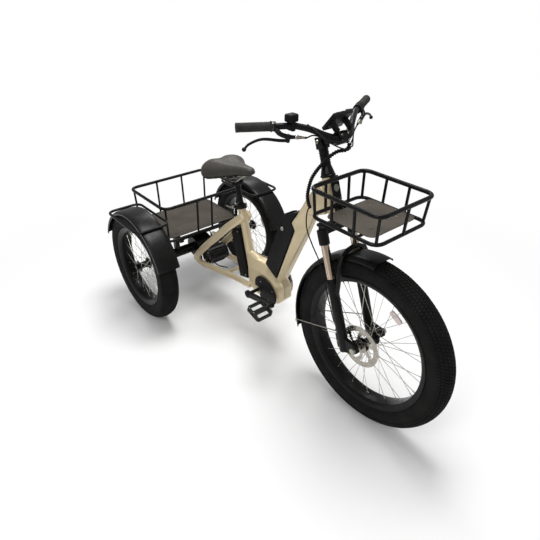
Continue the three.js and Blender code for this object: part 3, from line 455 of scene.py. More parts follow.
def end_tree(tree, geometry, material, out):
    """Realizes the instances, sets the finish and closes the tree."""
    real = tree.nodes.new("GeometryNodeRealizeInstances")
    paint = tree.nodes.new("GeometryNodeSetMaterial")
    tree.links.new(geometry, real.inputs["Geometry"])
    tree.links.new(real.outputs["Geometry"], paint.inputs["Geometry"])
    tree.links.new(material, paint.inputs["Material"])
    tree.links.new(paint.outputs["Geometry"], out.inputs["Geometry"])


def pipe_tree():
    """Skins every line of a mesh with a round tube whose radius is the line's girth."""
    tree = bpy.data.node_groups.get("Pipes along lines")
    if tree:
        return tree
    tree, start, out = new_tree("Pipes along lines",
                                [("Sides", "NodeSocketInt"), ("Finish", "NodeSocketMaterial")])
    line = tree.nodes.new("GeometryNodeMeshToCurve")
    ring = tree.nodes.new("GeometryNodeCurvePrimitiveCircle")
    ring.inputs["Radius"].default_value = 1
    skin = tree.nodes.new("GeometryNodeCurveToMesh")
    skin.inputs["Fill Caps"].default_value = True
    tree.links.new(start.outputs["Geometry"], line.inputs["Mesh"])
    tree.links.new(line.outputs["Curve"], skin.inputs["Curve"])
    tree.links.new(named_attribute(tree, "girth", "FLOAT"), skin.inputs["Scale"])
    tree.links.new(start.outputs["Sides"], ring.inputs["Resolution"])
    tree.links.new(ring.outputs["Curve"], skin.inputs["Profile Curve"])
    end_tree(tree, skin.outputs["Mesh"], start.outputs["Finish"], out)
    return tree


def repeat_tree():
    """Sets one shape on every point, turned by the point's turn."""
    tree = bpy.data.node_groups.get("Shape on points")
    if tree:
        return tree
    tree, start, out = new_tree("Shape on points",
                                [("Shape", "NodeSocketObject"), ("Finish", "NodeSocketMaterial")])
    shape = tree.nodes.new("GeometryNodeObjectInfo")
    spread = tree.nodes.new("GeometryNodeInstanceOnPoints")
    turn = tree.nodes.new("FunctionNodeEulerToRotation")
    tree.links.new(start.outputs["Shape"], shape.inputs["Object"])
    tree.links.new(named_attribute(tree, "turn", "FLOAT_VECTOR"), turn.inputs["Euler"])
    tree.links.new(start.outputs["Geometry"], spread.inputs["Points"])
    tree.links.new(shape.outputs["Geometry"], spread.inputs["Instance"])
    tree.links.new(turn.outputs["Rotation"], spread.inputs["Rotation"])
    end_tree(tree, spread.outputs["Instances"], start.outputs["Finish"], out)
    return tree


def run_tree(obj, tree, values):
    """Runs a tree on an object with inputs set by socket identifier."""
    modifier = obj.modifiers.new("Nodes", "NODES")
    modifier.node_group = tree
    for item in tree.interface.items_tree:
        if item.in_out == "INPUT" and item.name in values:
            modifier[item.identifier] = values[item.name]
    return bake(obj)


def pipes(name, lines, sides=20, crease=50.0, material="black_paint"):
    """One piece made of round tubes; each line is (points, girth or girths, closed)."""
    corners, edges, girths = [], [], []
    for points, girth, closed in lines:
        first = len(corners)
        corners += [tuple(point) for point in points]
        edges += [(first + i, first + i + 1) for i in range(len(points) - 1)]
        if closed:
            edges.append((first + len(points) - 1, first))
        girths += list(girth) if hasattr(girth, "__len__") else [girth] * len(points)
    mesh = bpy.data.meshes.new(name)
    mesh.from_pydata(corners, edges, [])
    mesh.attributes.new("girth", "FLOAT", "POINT").data.foreach_set("value", girths)
    obj = run_tree(link(name, mesh), pipe_tree(), {"Sides": sides, "Finish": finish(material)})
    tidy_mesh(obj.data, crease)
    return obj


def turn_of(out, across):
    """The Euler turn that takes +Z to out and +X as near to across as it can."""
    z = out.normalized()
    x = (across - z * across.dot(z)).normalized()
    y = z.cross(x)
    return Matrix((x, y, z)).transposed().to_euler()


def repeated(name, shape, places, material="bare_steel"):
    """One piece made of a shape set at (point, turn) places; the shape itself is removed."""
    mesh = bpy.data.meshes.new(name)
    mesh.from_pydata([tuple(point) for point, _ in places], [], [])
    turns = mesh.attributes.new("turn", "FLOAT_VECTOR", "POINT")
    turns.data.foreach_set("vector", [value for _, turn in places for value in turn])
    obj = run_tree(link(name, mesh), repeat_tree(), {"Shape": shape, "Finish": finish(material)})
    tidy_mesh(obj.data, 38, turn_out=False)
    bpy.data.objects.remove(shape)
    return obj


# ---- wheels ----
def tyre_section(wheel, inset):
    """The tyre's outer section from bead to bead as (x, radius) pairs, drawn in by the inset."""
    deep = wheel["radius"] - wheel["rim"] - inset
    half = wheel["half"] - inset
    shares = [(0.0, -0.74), (0.18, -0.90), (0.42, -0.99), (0.66, -0.93), (0.86, -0.72), (0.97, -0.38),
              (1.0, 0.0)]
    shares += [(out, -side) for out, side in reversed(shares[:-1])]
    points = [Vector((side * half, wheel["rim"] + out * deep, 0)) for out, side in shares]
    return [(point.x, point.y) for point in curve_through(points, 40)]


def tyre_shape(name, wheel, x, inset):
    """A tyre carcass with an open belly."""
    outside = tyre_section(wheel, inset)
    belly = [(0.80 * px, wheel["rim"] + 2 + 0.90 * (pr - wheel["rim"])) for px, pr in reversed(outside)]
    ring = [((px + x) / 1000, pr / 1000) for px, pr in outside + belly]
    return turned(name, ring, at(0, wheel["y"], wheel["radius"]), Vector((1, 0, 0)), 144, closed=True,
                  crease=60)


def tread_block(name, long, wide, tall):
    """A block with a smaller top, standing on its base."""
    corners = []
    for height, share in ((-0.0015, 1.06), (tall * 0.75, 0.94), (tall, 0.84)):
        corners += [(sx * wide / 2 * share, sy * long / 2 * share, height) for sx,
                    sy in ((-1, -1), (1, -1), (1, 1), (-1, 1))]
    faces = [(3, 2, 1, 0), (8, 9, 10, 11)]
    for level in (0, 4):
        faces += [(level + i, level + (i + 1) % 4, level + 4 + (i + 1) % 4, level + 4 + i)
                  for i in range(4)]
    return from_faces(name, corners, faces, 20)


TREAD_COLUMNS = 9
TREAD_SPACING = 13.4


def tread(name, wheel, x, sizes):
    """Staggered columns of close-set blocks across the crown of the tyre."""
    section = tyre_section(wheel, sizes.tread_height * 1000)
    reach = np.cumsum([0] + [math.dist(a, b) for a, b in zip(section, section[1:])])
    spread, radii = np.array(section).T
    centre = at(0, wheel["y"], wheel["radius"])
    rows = round(sizes.tread_rows * wheel["radius"] / FRONT_WHEEL["radius"])

    def on_section(distance):
        return float(np.interp(distance, reach, spread)), float(np.interp(distance, reach, radii))

    places = []
    for column in range(TREAD_COLUMNS):
        middle = reach[-1] / 2 + (column - (TREAD_COLUMNS - 1) / 2) * TREAD_SPACING
        (x0, r0), (x1, r1), (x2, r2) = (on_section(middle + step) for step in (-3, 0, 3))
        for row in range(rows):
            angle = 2 * math.pi * (row + 0.5 * (column % 2)) / rows
            radial = Vector((0, math.cos(angle), math.sin(angle)))
            along = (Vector((x2 - x0, 0, 0)) + radial * (r2 - r0)).normalized()
            out = Vector((0, -math.sin(angle), math.cos(angle))).cross(along)
            if out.dot(radial) < 0:
                out = -out
            places.append((centre + Vector(((x + x1) / 1000, 0, 0)) + radial * (r1 / 1000),
                           turn_of(out, along)))
    block = tread_block(name + "_block", 0.0112, 0.0112, sizes.tread_height)
    return [repeated(name + "_blocks", block, places, "tyre_rubber")]


def make_tyre(name, wheel, x, body, node, sizes):
    carcass = tyre_shape(name + "_carcass", wheel, x, sizes.tread_height * 1000)
    done(merged(name, [carcass, *tread(name, wheel, x, sizes)]), body, "tyre_rubber", node)


def make_rim(name, wheel, x, body, node):
    """A hollow black rim with a bead hook each side."""
    edge, wide = wheel["rim"], wheel["half"] * 0.8
    side = [(-wide + 2, edge + 3), (-wide, edge + 1.5), (-wide + 1.5, edge - 4), (-wide + 6, edge - 14),
            (-wide + 13, edge - 22), (-12, edge - 25)]
    inner = [(-10, edge - 17), (-wide + 12, edge - 12), (-wide + 5, edge - 2)]
    ring = side + [(-px, pr) for px, pr in reversed(side)] + [(-px, pr) for px,
                                                              pr in inner] + list(reversed(inner))
    ring = [((px + x) / 1000, pr / 1000) for px, pr in ring]
    obj = turned(name, ring, at(0, wheel["y"], wheel["radius"]), Vector((1, 0, 0)), 144, closed=True,
                 crease=30)
    done(obj, body, "black_paint", node)


def spoke_lines(wheel, x, flange, count):
    """Crossed spokes from both flanges to the rim."""
    centre = at(x, wheel["y"], wheel["radius"])
    end = (wheel["rim"] - 23) / 1000
    lines, nipples = [], []
    for i in range(count):
        side = 1 if i % 2 else -1
        lean = math.radians(58) * (1 if (i // 2) % 2 else -1)
        out = 2 * math.pi * i / count
        radial = Vector((0, math.cos(out), math.sin(out)))
        root = centre + Vector((side * flange / 1000, 0.0262 * math.cos(out + lean),
                                0.0262 * math.sin(out + lean)))
        tip = centre + Vector((side * 0.008, 0, 0)) + radial * end
        lines.append(([root, tip], 0.0011, False))
        way = (tip - root).normalized()
        nipples.append(([tip - way * 0.013, tip + way * 0.002], 0.0021, False))
    return lines + nipples


def make_hub(name, wheel, x, body, node, flange, inner, outer, sizes):
    """A shiny black hub shell with its flanges, and its laced spokes."""
    centre = at(x, wheel["y"], wheel["radius"])
    profile = [(inner, 0), (inner, 11), (inner + 3, 14), (-flange - 5, 15), (-flange - 3, 29),
               (-flange, 30),
               (-flange + 2, 29), (-flange + 6, 19), (0, 17), (flange - 6, 19), (flange - 2, 29),
               (flange, 30),
               (flange + 3, 29), (flange + 5, 15), (outer - 3, 14), (outer, 11), (outer, 0)]
    shell = turned(name, [(along / 1000, radius / 1000) for along, radius in profile], centre,
                   Vector((1, 0, 0)), 56)
    done(shell, body, "black_paint", node)
    spokes = pipes(name + "_spokes", spoke_lines(wheel, x, flange, sizes.spokes), 8, 40, "spoke_steel")
    done(spokes, body, "spoke_steel")


def make_reflector(name, wheel, x, body, turn):
    """A clear lozenge clipped between the spokes."""
    radial = Vector((0, math.cos(turn), math.sin(turn)))
    along = Vector((0, -math.sin(turn), math.cos(turn)))
    centre = at(x, wheel["y"], wheel["radius"]) + radial * (wheel["rim"] * 0.00072)
    corners = []
    for depth, grow in ((-0.005, 0.85), (-0.003, 1.0), (0.003, 1.0), (0.005, 0.85)):
        for k in range(24):
            angle = 2 * math.pi * k / 24
            reach = Vector((0.030 * math.copysign(abs(math.cos(angle)) ** 0.6, math.cos(angle)),
                            0.012 * math.copysign(abs(math.sin(angle)) ** 0.6, math.sin(angle)))) * grow
            corners.append(centre + along * reach.x + radial * reach.y + Vector((depth, 0, 0)))
    faces = [tuple(range(24)), tuple(range(72, 96))]
    faces += [(r * 24 + k, r * 24 + (k + 1) % 24, r * 24 + 24 + (k + 1) % 24, r * 24 + 24 + k)
              for r in range(3) for k in range(24)]
    done(from_faces(name, corners, faces, 30), body, "black_plastic", material="reflector")


def polar_plate(name, centre, radii, sectors, keep, thick, crease=30):
    """A flat plate about the X axis cut from a polar grid; keep(row, sector) says which cells stay."""
    work = bmesh.new()
    grid = [[work.verts.new(centre
                            + Vector((0, math.cos(2 * math.pi * s / sectors),
                                      math.sin(2 * math.pi * s / sectors))) * r)
             for s in range(sectors)] for r in radii]
    for row in range(len(radii) - 1):
        for s in range(sectors):
            if keep(row, s):
                t = (s + 1) % sectors
                work.faces.new((grid[row][s], grid[row][t], grid[row + 1][t], grid[row + 1][s]))
    bmesh.ops.delete(work, geom=[v for v in work.verts if not v.link_faces], context="VERTS")
    mesh = bpy.data.meshes.new(name)
    work.to_mesh(mesh)
    work.free()
    obj = link(name, mesh)
    solid = obj.modifiers.new("Solidify", "SOLIDIFY")
    solid.thickness = thick
    solid.offset = 0
    return bake(obj, crease)


def bolt_shape(name, radius):
    """A round socket bolt head with its hexagon recess, standing on its base."""
    profile = [(-0.002, 1.0), (0.55, 1.0), (0.75, 0.86), (0.75, 0.5), (0.35, 0.46)]
    corners, faces = [], []
    for row, (along, share) in enumerate(profile):
        z = along * radius if row else -0.002
        corners += [(share * radius * math.cos(math.pi * k / 6), share * radius * math.sin(math.pi * k / 6),
                     z)
                    for k in range(12)]
    for row in range(len(profile) - 1):
        faces += [(row * 12 + k, row * 12 + (k + 1) % 12, row * 12 + 12 + (k + 1) % 12, row * 12 + 12 + k)
                  for k in range(12)]
    faces += [tuple(range(11, -1, -1)), tuple(range(48, 60))]
    return from_faces(name, corners, faces, 30)


def bolts(name, body, places, radius=None):
    """Socket bolts at (point, outward direction) places."""
    radius = radius or bpy.context.scene.tricycle_sizes.bolt_radius
    turns = [(point, turn_of(out, out.orthogonal())) for point, out in places]
    return done(repeated(name, bolt_shape(name + "_shape", radius), turns), body, "bare_steel")


def make_rotor():
    """The slotted brake disc on its swept arms, with six bolts."""
    centre = at(-51.6, -WHEELBASE, FRONT_WHEEL["radius"])
    radii = [0.014, 0.018, 0.024, 0.030, 0.040, 0.050, 0.060, 0.068, 0.0715, 0.0745, 0.079, 0.0835, 0.087,
             0.090]

    def keep(row, s):
        if row < 3:
            return not (row == 1 and s % 24 in (11, 12))
        if row < 7:
            return (s - 3 * (row - 3)) % 24 < 7
        if row in (9, 11):
            return (s + row) % 4 != 0
        return True

    disc = polar_plate("front_brake_disc_slotted", centre, radii, 144, keep, 0.002)
    done(disc, "front_wheel", "bare_steel", "front_brake_disc")
    ring = [(centre + Vector((-0.001, 0.021 * math.cos(k * math.pi / 3 + 0.5),
                              0.021 * math.sin(k * math.pi / 3 + 0.5))),
             Vector((-1, 0, 0))) for k in range(6)]
    bolts("front_brake_disc_bolts", "front_wheel", ring, 0.0032)


class WheelsOperator(bpy.types.Operator):
    """Builds the tyres, rims, hubs, spokes, reflectors and the brake disc"""

    bl_idname = "tricycle.wheels"
    bl_label = "Wheels"

    def execute(self, context):
        sizes = context.scene.tricycle_sizes
        make_tyre("front_tyre_treaded", FRONT_WHEEL, 0, "front_wheel", "front_tyre", sizes)
        make_rim("front_rim_hooked", FRONT_WHEEL, 0, "front_wheel", "front_rim")
        make_hub("front_hub_shell", FRONT_WHEEL, 0, "front_wheel", "front_hub_and_spokes", 33, -50, 50,
                 sizes)
        make_reflector("front_reflector", FRONT_WHEEL, 0, "front_wheel", 2.1)
        make_rotor()
        for side, hand in SIDES:
            body, x = f"rear_wheel_{hand}", side * HALF_TRACK
            inner, outer = (-46, 62) if side < 0 else (-62, 46)
            make_tyre(f"rear_tyre_treaded_{hand}", REAR_WHEEL, x, body, f"rear_tyre_{hand}", sizes)
            make_rim(f"rear_rim_hooked_{hand}", REAR_WHEEL, x, body, f"rear_rim_{hand}")
            make_hub(f"rear_hub_shell_{hand}", REAR_WHEEL, x, body, f"rear_hub_and_spokes_{hand}", 27,
                     inner, outer, sizes)
            make_reflector(f"rear_reflector_{hand}", REAR_WHEEL, x, body, 2.6)
        return {"FINISHED"}


# ---- frame ----
class FrameOperator(bpy.types.Operator):
    """Builds the welded frame with its badge, seat clamp, motor, axle and rack"""

    bl_idname = "tricycle.frame"
    bl_label = "Frame"

    def execute(self, context):
        sizes = context.scene.tricycle_sizes
        shell = cast("frame_shell", sizes.weld_voxel, 9, "main_frame", "rear_triangle")
        done(shell, "frame", "frame_paint", "main_frame", "rear_triangle")
        collars = []
        for z in (-HEAD_TUBE_END, 2):
            collars.append(turned("collar",
                                  [(0, 0.0165), (0, 0.0270), (0.0012, 0.0285), (0.0068, 0.0285),
                                   (0.008, 0.0270), (0.008, 0.0165)],
                                  on_steering(0, 0, z - 9), on_steering(0, 0, 1) - on_steering(0, 0, 0), 48,
                                  closed=True))
        done(merged("headset_cups", collars), "frame", "black_paint")
        badge = softened("head_badge_plate", 0.0022, "head_badge")
        done(badge, "frame", "black_plastic", "head_badge")
        out = on_steering(0, -1, 0) - on_steering(0, 0, 0)
        bolts("head_badge_bolts", "frame",
              [(on_steering(x, -31, z), out) for x in (-14, 14) for z in (-90, -14)], 0.0038)
        emblem = turned("head_badge_emblem",
                        [(0, 0.013), (0.0012, 0.013), (0.002, 0.0122), (0.002, 0.0100), (0.0008, 0.0095),
                         (0.0008, 0)],
                        on_steering(0, -30.9, -50), out, 48)
        done(emblem, "frame", "black_plastic", material="emblem")
        done(cast("seat_clamp_collar", 0.0009, 4, "seat_clamp"), "frame", "black_paint", "seat_clamp")
        lever = cast("seat_clamp_handle", 0.0008, 5, "seat_clamp_lever")
        done(lever, "clamp_lever", "bare_steel", "seat_clamp_lever")
        done(softened("controller_case", 0.005, "controller_box", segments=4), "frame", "black_plastic",
             "controller_box")
        bolts("controller_case_screws", "frame", [
            (on_seat_line(-27, y, z), Vector((-1, 0, 0))) for y in (36, 80) for z in (-355, -128)], 0.0034)
        done(cast("motor_finned", 0.0016, 3, "motor"), "frame", "black_paint", "motor")
        bolts("motor_bolts", "frame", [
            (at(-58, -150 + 34 * math.cos(k * math.pi / 3), 303 + 34 * math.sin(k * math.pi / 3)),
             Vector((-1, 0, 0)))
            for k in range(6)], 0.0036)
        done(cast("rear_axle_case", 0.0021, 5, "rear_axle_housing"), "frame", "black_paint",
             "rear_axle_housing")
        done(softened("rack_rails", 0.003, "rack_frame"), "frame", "black_paint", "rack_frame")
        done(softened("crank_cover_rounded", 0.0028, "crank_cover", segments=4), "frame", "black_plastic",
             "crank_cover")
        bolts("crank_cover_screws", "frame", [
            (at(-60.3, -640 + 58 * math.cos(a), 336 + 44 * math.sin(a)), Vector((-1, 0, 0)))
            for a in (1.0, 2.6, 4.2, 5.6)], 0.003)
        loops = [([at(12, -365, 655), at(14, -350, 672), at(8, -335, 640), at(4, -334, 600)], 0.003, False),
                 ([at(-10, -368, 650), at(-16, -346, 664), at(-9, -330, 632), at(-5, -331, 596)], 0.0026,
                  False),
                 ([at(40, -112, 290), at(52, -70, 330), at(44, -40, 372), at(30, -60, 392)], 0.003, False),
                 ([at(-30, -300, 292), at(-44, -240, 282), at(-50, -200, 290)], 0.003, False)]
        wires = pipes("motor_wires", [(curve_through(points, 20), girth, closed) for points, girth,
                                      closed in loops], 10)
        done(wires, "frame", "black_plastic")
        return {"FINISHED"}


HEAD_TUBE_END = 150


class BatteryOperator(bpy.types.Operator):
    """Builds the battery case with its handle and charge socket"""

    bl_idname = "tricycle.battery"
    bl_label = "Battery"

    def execute(self, context):
        done(softened("battery_case", 0.006, "battery", segments=4), "battery", "black_plastic", "battery")
        grip = [at(-26, -742, 760), at(-26, -722, 752), at(26, -722, 752), at(26, -742, 760)]
        handle = pipes("battery_handle", [(rounded(grip, 0.010, False, 6), 0.0045, False)], 16)
        done(handle, "battery", "black_plastic")
        socket = turned("battery_socket",
                        [(0, 0), (0, 0.0085), (0.0015, 0.0095), (0.003, 0.0088), (0.003, 0.0055),
                         (0.001, 0.005), (0.001, 0)],
                        at(-35.5, -722, 690), Vector((-1, 0, 0)), 36)
        done(socket, "battery", "bare_steel")
        return {"FINISHED"}


# ---- drive ----
def toothed(name, centre, pitch, teeth, inner, body, slot, *nodes):
    """A flat toothed ring about the X axis."""
    count = teeth * 6
    radii_out = [pitch + (2.6 if k % 6 in (2, 3) else 0.6 if k % 6 in (1, 4) else -2.2)
                 for k in range(count)]
    corners, faces = [], []
    for x in (-0.9, 0.9):
        for ring in (radii_out, [inner] * count):
            for k, radius in enumerate(ring):
                angle = 2 * math.pi * k / count
                corners.append(centre + Vector((x, radius * math.cos(angle), radius * math.sin(angle)))
                               / 1000)
    for k in range(count):
        j = (k + 1) % count
        faces += [(k, j, count + j, count + k),
                  (2 * count + k, 3 * count + k, 3 * count + j, 2 * count + j),
                  (k, 2 * count + k, 2 * count + j, j),
                  (count + k, count + j, 3 * count + j, 3 * count + k)]
    return done(from_faces(name, corners, faces, 30), body, slot, *nodes)


def chain_places():
    """Points and turns of the links round both toothed rings."""
    front, back = (CRANK_Y, CRANK_Z, CHAINRING_RADIUS), (0, REAR_WHEEL["radius"], SPROCKET_RADIUS)
    span = math.hypot(back[0] - front[0], back[1] - front[1])
    lie = math.atan2(back[1] - front[1], back[0] - front[0])
    wrap = math.acos((front[2] - back[2]) / span)
    line = []
    for (y, z, r), start, end in ((front, lie + wrap, lie + 2 * math.pi - wrap),
                                  (back, lie - wrap, lie + wrap)):
        line += [Vector((0, y + r * math.cos(start + (end - start) * k / 60),
                         z + r * math.sin(start + (end - start) * k / 60)))
                 for k in range(61)]
    line.append(line[0])
    reach = np.cumsum([0] + [(b - a).length for a, b in zip(line, line[1:])])
    links = int(reach[-1] // 12.7)
    place = np.array(line)

    def point(distance):
        distance = distance % reach[-1]
        return Vector([float(np.interp(distance, reach, place[:, k])) for k in range(3)])

    pitch = reach[-1] / links
    return [(point(k * pitch), point((k + 1) * pitch)) for k in range(links)]


def link_plates(name, offset):
    """A pair of waisted side plates and one roller, lying along Y."""
    outline = []
    for y, radius, turn in ((-6.35, 4.1, math.pi), (6.35, 4.1, 0)):
        outline += [(y + radius * math.cos(turn + a), radius * math.sin(turn + a))
                    for a in np.linspace(-1.3, 1.3, 5)]
    corners, faces = [], []
    for x0, x1 in ((-offset - 0.9, -offset), (offset, offset + 0.9)):
        base = len(corners)
        corners += [(x / 1000, y / 1000, z / 1000) for x in (x0, x1) for y, z in outline]
        count = len(outline)
        faces += [tuple(base + k for k in reversed(range(count))),
                  tuple(base + count + k for k in range(count))]
        faces += [(base + k, base + (k + 1) % count, base + count + (k + 1) % count, base + count + k)
                  for k in range(count)]
    base = len(corners)
    for x in (-offset - 1.6, offset + 1.6):
        corners += [(x / 1000, (6.35 + 2.1 * math.cos(k * math.pi / 4)) / 1000,
                     2.1 * math.sin(k * math.pi / 4) / 1000) for k in range(8)]
    faces += [tuple(base + k for k in range(8)), tuple(base + 8 + k for k in range(8))]
    faces += [(base + k, base + (k + 1) % 8, base + 8 + (k + 1) % 8, base + 8 + k) for k in range(8)]
    return from_faces(name, corners, faces, 30)


class DriveOperator(bpy.types.Operator):
    """Builds the crankset, pedals, toothed rings and chain"""

    bl_idname = "tricycle.drive"
    bl_label = "Drive"

    def execute(self, context):
        done(cast("crank_arm_forged_right", 0.0011, 6, "crank_arm_right"), "crankset", "black_paint",
             "crank_arm_right")
        done(cast("crank_arm_forged_left", 0.0012, 4, "crank_arm_left"), "crankset", "black_paint",
             "crank_arm_left")
        toothed("chainring_teeth", at(CHAIN_X, CRANK_Y, CRANK_Z), CHAINRING_RADIUS, 40, 66, "crankset",
                "black_paint")
        toothed("rear_sprocket_teeth", at(CHAIN_X, 0, REAR_WHEEL["radius"]), SPROCKET_RADIUS, 20, 27.5,
                "sprocket",
                "bare_steel", "rear_sprocket")
        for side, hand in SIDES:
            pedal = softened(f"pedal_platform_{hand}", 0.0025, f"pedal_{hand}")
            done(pedal, f"pedal_{hand}", "black_plastic", f"pedal_{hand}")
            low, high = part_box(f"pedal_{hand}")
            middle = (low + high) / 2
            tilt = Matrix.Rotation(math.radians(18), 3, "X")
            up = tilt @ Vector((0, 0, 1))
            pins = [(middle + tilt @ Vector((x * 0.038, y * 0.030, 0.010)), up) for x in (-1, 1)
                    for y in (-1, 0, 1)]
            bolts(f"pedal_pins_{hand}", f"pedal_{hand}", pins, 0.0022)
            end = rod(f"crank_cap_{hand}", at(side * 117.5, CRANK_Y, CRANK_Z),
                      at(side * 120.5, CRANK_Y, CRANK_Z), 0.011)
            done(end, "crankset", "black_plastic")
        parts = []
        for k, offset in enumerate((2.0, 1.05)):
            places = []
            for start, end in chain_places()[k::2]:
                middle = (start + end) / 2
                along = (end - start).normalized()
                turn = Matrix((Vector((1, 0, 0)), along,
                               Vector((1, 0, 0)).cross(along))).transposed().to_euler()
                places.append((at(CHAIN_X, middle.y, middle.z), turn))
            parts.append(repeated(f"chain_links_{k}", link_plates(f"chain_link_{k}", offset), places))
        done(merged("chain_linked", parts), "frame", "bare_steel", "chain")
        return {"FINISHED"}


# ---- baskets, fenders and hoops ----
def rail_line(size, inset, z, corner):
    x, back, front = size["x"] - inset, size["back"] - inset, size["front"] + inset
    ring = [at(-x, back, z), at(-x, front, z), at(x, front, z), at(x, back, z)]
    return rounded(ring, corner / 1000, True, 10)


def basket_lines(size, corner, front_wires, back_wires, side_wires, floor_wires, sizes):
    """Both rails, the uprights between them and the wires under the floor."""
    x, back, front, top, bottom, inset = (size[key]
                                          for key in ("x", "back", "front", "top", "bottom", "inset"))
    lines = [(rail_line(size, 0, top, corner), sizes.rail_radius, True),
             (rail_line(size, inset, bottom, corner), sizes.rail_radius - 0.001, True)]

    def upright(xt, yt, xb, yb):
        lines.append(([at(xt, yt, top), at(xb, yb, bottom)], sizes.wire_radius, False))

    for place in front_wires:
        upright(place, front, place, front + inset)
    for place in back_wires:
        upright(place, back, place, back - inset)
    for place in side_wires:
        for side in (-1, 1):
            upright(side * x, place, side * (x - inset), place)
    bend = corner * 0.27
    for sx, y, sy in ((-1, back, -1), (1, back, -1), (-1, front, 1), (1, front, 1)):
        upright(sx * (x - bend), y + sy * bend, sx * (x - inset - bend), y + sy * (inset + bend))
    for y in floor_wires:
        lines.append(([at(-x + inset, y, bottom + 3), at(x - inset, y, bottom + 3)], sizes.wire_radius,
                      False))
    return lines


def box_piece(name, x0, x1, y0, y1, z0, z1, width, place=at):
    corners = [place(x, y, z) for x in (x0, x1) for y in (y0, y1) for z in (z0, z1)]
    obj = from_faces(name, corners,
                     [(0, 1, 3, 2), (4, 6, 7, 5), (0, 4, 5, 1), (2, 3, 7, 6), (0, 2, 6, 4), (1, 5, 7, 3)],
                     20)
    bevel = obj.modifiers.new("Bevel", "BEVEL")
    bevel.width = width
    bevel.segments = 3
    return bake(obj, 40)


def fender_shell(name, wheel, x, profile, start, end, steps):
    """A channel bent round the axle from (x, radius) corners in millimetres."""
    points = [Vector((px, pr, 0)) for px, pr in profile]
    outside = curve_through(points, 36)
    inside = []
    for i, point in enumerate(outside):
        way = (outside[min(i + 1, 36)] - outside[max(i - 1, 0)]).normalized()
        inside.append(point + Vector((way.y, -way.x, 0)) * 2.4)
    ring = outside + inside[::-1]
    corners, faces = [], []
    count = len(ring)
    for step in range(steps + 1):
        angle = math.radians(start + (end - start) * step / steps)
        near_end = min(step, steps - step)
        drop = {0: 1.6, 1: 0.5}.get(near_end, 0)
        for point in ring:
            radius = point.y - drop * (1 if point.y > wheel["radius"] + 2 else 0.3)
            corners.append(at(x + point.x, wheel["y"] + radius * math.cos(angle),
                              wheel["radius"] + radius * math.sin(angle)))
    for step in range(steps):
        for k in range(count):
            j = (k + 1) % count
            faces.append((step * count + k, step * count + j, (step + 1) * count + j,
                          (step + 1) * count + k))
    for base, turn in ((0, 1), (steps * count, -1)):
        for k in range(36):
            quad = (base + k, base + k + 1, base + count - 2 - k, base + count - 1 - k)
            faces.append(quad[::turn])
    return from_faces(name, corners, faces, 42)


class CarriersOperator(bpy.types.Operator):
    """Builds both baskets with their floors, the fenders and the hoops"""

    bl_idname = "tricycle.carriers"
    bl_label = "Baskets and fenders"

    def execute(self, context):
        sizes = context.scene.tricycle_sizes
        rear = basket_lines(REAR_BASKET, 45, (-45, 45), (-80, 80), (), (10, 220), sizes)
        done(pipes("rear_basket_tubes", rear, 24), "frame", "black_paint", "rear_basket")
        front = basket_lines(FRONT_BASKET, 42, (0,), (-62, 62), (-1085, -1185), (-1080, -1200), sizes)
        cage = [pipes("front_basket_wires", front, 24)]
        cage += [box_piece("arm", x - 4, x + 4, -1205, -996, 868, 882, 0.0015) for x in (-18, 18)]
        cage.append(box_piece("plate", -24, 24, -31.5, -26, -138, -104, 0.002, on_steering))
        done(merged("front_basket_tubes", cage), "frame", "black_paint", "front_basket")
        out = on_steering(0, -1, 0) - on_steering(0, 0, 0)
        bolts("front_basket_bolts", "frame", [(on_steering(x, -31.5, -129), out) for x in (-17, 17)],
              0.0036)
        for place in ("rear", "front"):
            panel = softened(f"{place}_basket_panel", 0.0012, f"{place}_basket_floor")
            done(panel, "frame", "floor_panel", f"{place}_basket_floor")
        screws = [(at(x, y, 422), Vector((0, 0, 1))) for x in (-120, 120) for y in (10, 220)]
        screws += [(at(x, y, 892.5), Vector((0, 0, 1))) for x in (-70, 70) for y in (-1080, -1200)]
        bolts("basket_floor_screws", "frame", screws, 0.0045)
        hoop_y, hoop_z = 155, 563
        for side, hand in SIDES:
            x = side * HALF_TRACK
            profile = [(-57, 283.5), (-56.6, 297), (-44, 301.4), (-30, 302.8), (0, 303.4), (30, 302.8),
                       (44, 301.4), (56.6, 297), (57, 283.5)]
            shell = fender_shell(f"rear_fender_shell_{hand}", REAR_WHEEL, x, profile, 19, 161, 72)
            done(shell, "frame", "fender_plastic", f"rear_fender_{hand}")
            ring = [at(side * 261, hoop_y, hoop_z), at(side * 436, hoop_y, hoop_z),
                    at(side * 436, -hoop_y, hoop_z), at(side * 261, -hoop_y, hoop_z)]
            hoop = pipes(f"fender_hoop_tube_{hand}", [(rounded(ring, 0.038, True, 12), 0.0065, True)], 24)
            done(hoop, "frame", "black_paint", f"fender_hoop_{hand}")
        profile = [(-55, 361), (-53, 368), (-40, 377.5), (-26, 380.2), (0, 381), (26, 380.2), (40, 377.5),
                   (53, 368), (55, 361)]
        shell = fender_shell("front_fender_shell", FRONT_WHEEL, 0, profile, -18, 92.5, 60)
        done(shell, "fork_lowers", "fender_plastic", "front_fender")
        stays = []
        for side in (-1, 1):
            foot, end = on_steering(side * 86, 23.2, -606), at(side * 53.5, -WHEELBASE + 358,
                                                               FRONT_WHEEL["radius"] - 76)
            stays.append(([foot, end], 0.0024, False))
            stays.append(([end - Vector((0, 0, 0.008)), end + Vector((0, 0, 0.006))], 0.0045, False))
        done(pipes("front_fender_stays", stays, 12, material="bare_steel"), "fork_lowers", "bare_steel")
        return {"FINISHED"}


